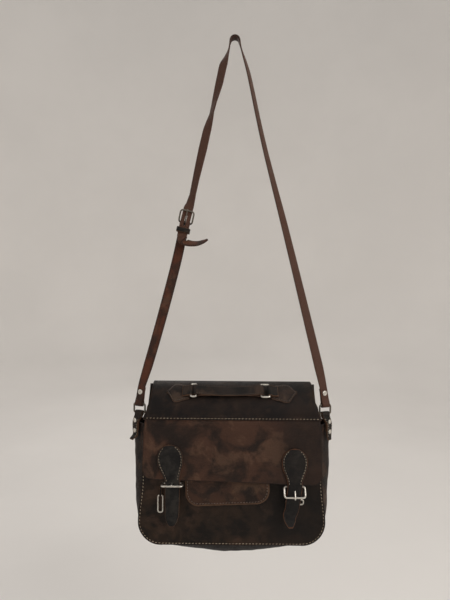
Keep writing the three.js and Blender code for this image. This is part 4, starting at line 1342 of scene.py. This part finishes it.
def long_strap_stops():
    def arc(degrees):
        a = math.radians(degrees)
        return facing(math.cos(a) * APEX_RADIUS, 0, HANG - 7.65 + math.sin(a) * APEX_RADIUS, 90)

    def passing(y, z):
        return (in_adjuster(0, y, z), tuple(-c for c in ACROSS), STRAP_WIDTH)

    return strap_end(1) + [
        facing(158.8, -27.8, 318, 20), facing(144, -24.6, 380, 24), facing(117, -19, 492, 34),
        facing(92, -13.6, 594, 42), facing(75, -10.5, 660, 50), facing(58.4, -7.6, 726, 56),
        facing(44.4, -5.2, 788, 60), facing(34, -3.4, 838, 62), facing(25.5, -2, 876, 64),
        facing(18, -0.9, 902, 70), facing(12, -0.2, 921, 80), arc(10), arc(50), arc(90), arc(130), arc(170),
        facing(-11.2, -0.3, 921, 98), facing(-15.5, -0.8, 907, 116), facing(-21.4, -1.6, 889, 150),
        facing(-29.6, -3, 850.5, 146), facing(-38.4, -4.6, 814, 122), facing(-42.8, -5.4, 795, 118),
        facing(-51, -6.4, 763, 152), facing(-59, -8, 726, 158), facing(-71.6, -10.6, 667, 138),
        facing(-77, -11.6, 640, 134), facing(-81.2, -13.2, 623, 152),
        passing(-1.7, 18), passing(-2.9, HALF_ADJUSTER), passing(-4.6, 0), passing(RUN_FACE, -HALF_ADJUSTER),
        passing(RUN_FACE + 0.4, -20), passing(RUN_FACE + 0.6, -29),
        ((-95.5, -23, 559), (-0.95, 0.1, 0.25), STRAP_WIDTH),
        ((-92, -28, 550), (-0.7, 0.5, 0.5), STRAP_WIDTH),
        ((-82, -32, 545.5), (-0.2, 0.75, 0.65), STRAP_WIDTH),
        ((-67, -33, 545), (0, 0.8, 0.6), STRAP_WIDTH - 2),
        ((-55, -31, 549), (0, 0.8, 0.6), STRAP_WIDTH - 7), ((-48, -29, 553), (0, 0.8, 0.6), 5),
    ]


def short_strap_stops():
    bar = in_adjuster(0, 0, -HALF_ADJUSTER)
    away = (-math.sin(LEAN), 0, -math.cos(LEAN))
    fold = folded(bar, away, ACROSS, 24, 24, 1.5, 0.5, LEATHER, STRAP_WIDTH)
    return fold[::-1] + [
        facing(-104.5, -18.5, 518, 4), facing(-118.5, -20.6, 460, 8), facing(-139, -24.8, 380, -6),
        facing(-155.5, -27.9, 320, -14),
    ] + strap_end(-1)[::-1]


def box_cutter(size, centre):
    """A block that cuts the slot for a prong, leaning with the adjuster."""
    bm = bmesh.new()
    bmesh.ops.create_cube(bm, size=1.0)
    bmesh.ops.transform(bm, matrix=shift(*centre) @ LEANING @ Matrix.Diagonal((*size, 1.0)), verts=bm.verts)
    mesh = bpy.data.meshes.new("cutter")
    bm.to_mesh(mesh)
    bm.free()
    mesh.transform(Matrix.Diagonal((MM, MM, MM, 1.0)))
    mesh.transform(shift(0, 0, -HANG * MM))
    return linked("cutter", mesh)


def cut(piece, size, centre):
    """Cuts a prong's slot through a strap, which has to come out whole but for the slot."""
    cutter = box_cutter(size, centre)
    whole = len(piece.data.polygons)
    modifier = piece.modifiers.new("slot", "BOOLEAN")
    modifier.operation = "DIFFERENCE"
    modifier.solver = "MANIFOLD"
    modifier.object = cutter
    bpy.context.view_layer.update()
    evaluated = piece.evaluated_get(bpy.context.evaluated_depsgraph_get())
    result = bpy.data.meshes.new_from_object(evaluated)
    assert len(result.polygons) >= whole, f"the slot's cut damaged {piece.name}"
    piece.modifiers.clear()
    piece.data = result
    bpy.data.objects.remove(cutter)


long_strap = Strip(long_strap_stops(), LEATHER, sub=6, across=8, round_off=0.8, dome=0.25)
long_piece = long_strap.piece("long_strap_leather", "strap", strap_leather, stand_for=["long_strap"],
                              slot="strap_leather")
cut(long_piece, (3.4, 12, 19), in_adjuster(0, -4.6, -7))
short_strap = Strip(short_strap_stops(), LEATHER, sub=6, across=8, round_off=0.8, dome=0.25)
short_piece = short_strap.piece("short_strap_leather", "strap", strap_leather, stand_for=["short_strap"],
                                slot="strap_leather")
cut(short_piece, (3.4, 14, 15), in_adjuster(0, 0, -HALF_ADJUSTER - 0.5))

FRAME_TILT = math.degrees(math.atan2(6, 2 * HALF_ADJUSTER))
ADJUSTER_REACH = 2 * HALF_ADJUSTER / math.cos(math.radians(FRAME_TILT))
pivot = shift(*ADJUSTER) @ LEANING @ shift(0, 0, -HALF_ADJUSTER) @ turn("X", FRAME_TILT)
line = moved(loop_points(25.4, ADJUSTER_REACH, 5), pivot @ shift(0, 0, ADJUSTER_REACH / 2))
make("adjuster_wire", *tube(line, 1.5, closed=True), "strap", antique, stand_for=["adjuster_frame"],
     slot="dark_metal")
prong = prong_points(3.0, 1, 9, ADJUSTER_REACH, 2.6)
make("adjuster_prong_wire", *tube(moved(prong, pivot), 1.1, sides=12), "adjuster_prong", antique,
     stand_for=["adjuster_prong"], slot="dark_metal")


def keeper_band():
    """A closed leather loop round both layers of the strap."""
    def ring(x0, x1, y0, y1, r, count=7):
        pts = []
        corners = ((x1 - r, y1 - r), (x0 + r, y1 - r), (x0 + r, y0 + r), (x1 - r, y0 + r))
        for start, (cx, cy) in zip((0, 90, 180, 270), corners):
            for k in range(count):
                a = math.radians(start + 90 * k / (count - 1))
                pts.append((cx + r * math.cos(a), cy + r * math.sin(a)))
        return pts

    outer_ring, inner_ring = ring(-12.4, 12.4, -9.6, 5, 2.6), ring(-10.6, 10.6, -7.8, 3.4, 1.2)
    placed = shift(*ADJUSTER) @ LEANING @ shift(0, 0, -30)
    verts, edge, side = [], [], []
    # outline, height on the loop, distance from the cut edge, side
    steps = [(outer_ring, 0.4, 0.0, 1.0), (outer_ring, 3.0, 3.0, 1.0), (outer_ring, 6.5, 3.0, 1.0),
             (outer_ring, 9.1, 0.0, 1.0), (inner_ring, 9.5, 0.0, -1.0), (inner_ring, 0.0, 0.0, -1.0)]
    for pts, z, distance, facing_side in steps:
        for x, y in pts:
            verts.append(np.array(placed @ Vector((x, y, z))))
            edge.append(distance)
            side.append(facing_side)
    faces = band_faces(len(steps), len(outer_ring), wrap=True)
    make("keeper_leather", verts, faces, "strap_keeper", tab_leather, edge=edge, side=side,
         stand_for=["strap_keeper"], slot="dark_leather")


keeper_band()
for name, sign in (("left", -1), ("right", 1)):
    out = outward_at(sign, 24)
    off = LEATHER + GAP / 2 + 0.9
    rivet(f"{name}_strap_stud", np.array([sign * 167.6, -29, BAR_TOP + 21.5]) + out * off, out, 4.6, "strap",
          f"{name}_strap_rivet")

# ---------------------------------------------------------------- room, light, camera
PALE = (0.80, 0.775, 0.75)


def surround():
    """A wide bowl: pale floor that curves up into a far wall all round."""
    profile = [(0.0, -1.30), (1.4, -1.30), (2.4, -1.29), (3.0, -1.22), (3.4, -1.02), (3.65, -0.7),
               (3.75, -0.3), (3.8, 0.6), (3.8, 3.2)]
    sides = 72
    verts = []
    for radius, z in profile:
        reach = max(radius, 0.001)
        for k in range(sides):
            a = math.tau * k / sides
            verts.append((reach * math.cos(a), reach * math.sin(a), z))
    mesh = bpy.data.meshes.new("surround")
    mesh.from_pydata(verts, [], band_faces(len(profile), sides))
    for polygon in mesh.polygons:
        polygon.use_smooth = True
    room = linked("surround", mesh)
    n = Nodes("plaster")
    coordinates = n.add("ShaderNodeTexCoord").outputs["Object"]
    tone = n.noise(coordinates, 0.9, 4.0, 0.6)
    n.set("Base Color", n.blend(n.step(tone, 0.3, 0.7), PALE, tuple(c * 0.95 for c in PALE)))
    n.set("Roughness", 0.9)
    mesh.materials.append(n.material)


surround()


def area_light(name, place, aim, size, power, colour):
    data = bpy.data.lights.new(name, "AREA")
    data.shape = "RECTANGLE"
    data.size, data.size_y = size
    data.energy = power
    data.color = colour
    lamp = linked(name, data)
    lamp.location = place
    direction = Vector(aim) - Vector(place)
    lamp.rotation_euler = direction.to_track_quat("-Z", "Y").to_euler()


CENTRE = (0, -0.02, -0.6)
area_light("key", (1.9, -1.7, 0.7), CENTRE, (1.6, 1.6), 44, (1.0, 0.97, 0.93))
area_light("fill", (-2.2, -1.6, 0.2), CENTRE, (2.2, 2.0), 11, (0.95, 0.97, 1.0))
area_light("top", (0.2, 0.3, 1.9), CENTRE, (2.4, 2.4), 9, (1.0, 0.98, 0.95))
area_light("back", (-0.8, 2.4, 0.6), CENTRE, (2.0, 1.6), 8, (1.0, 0.98, 0.96))

bpy.context.scene.view_settings.view_transform = "Standard"
world = bpy.data.worlds.new("world")
bpy.context.scene.world = world
world.use_nodes = True
background = world.node_tree.nodes["Background"].inputs
background["Color"].default_value = (0.92, 0.90, 0.87, 1.0)
background["Strength"].default_value = 0.6

camera_data = bpy.data.cameras.new("camera")
camera_data.lens = 27.0
camera_data.sensor_width = 36.0
camera_data.clip_start = 0.05
camera = linked("camera", camera_data)
camera.location = (-0.015, -0.855, -0.4978)
ROLL = 0.45
camera.rotation_euler = (math.radians(90), math.radians(-ROLL), 0)
bpy.context.scene.camera = camera
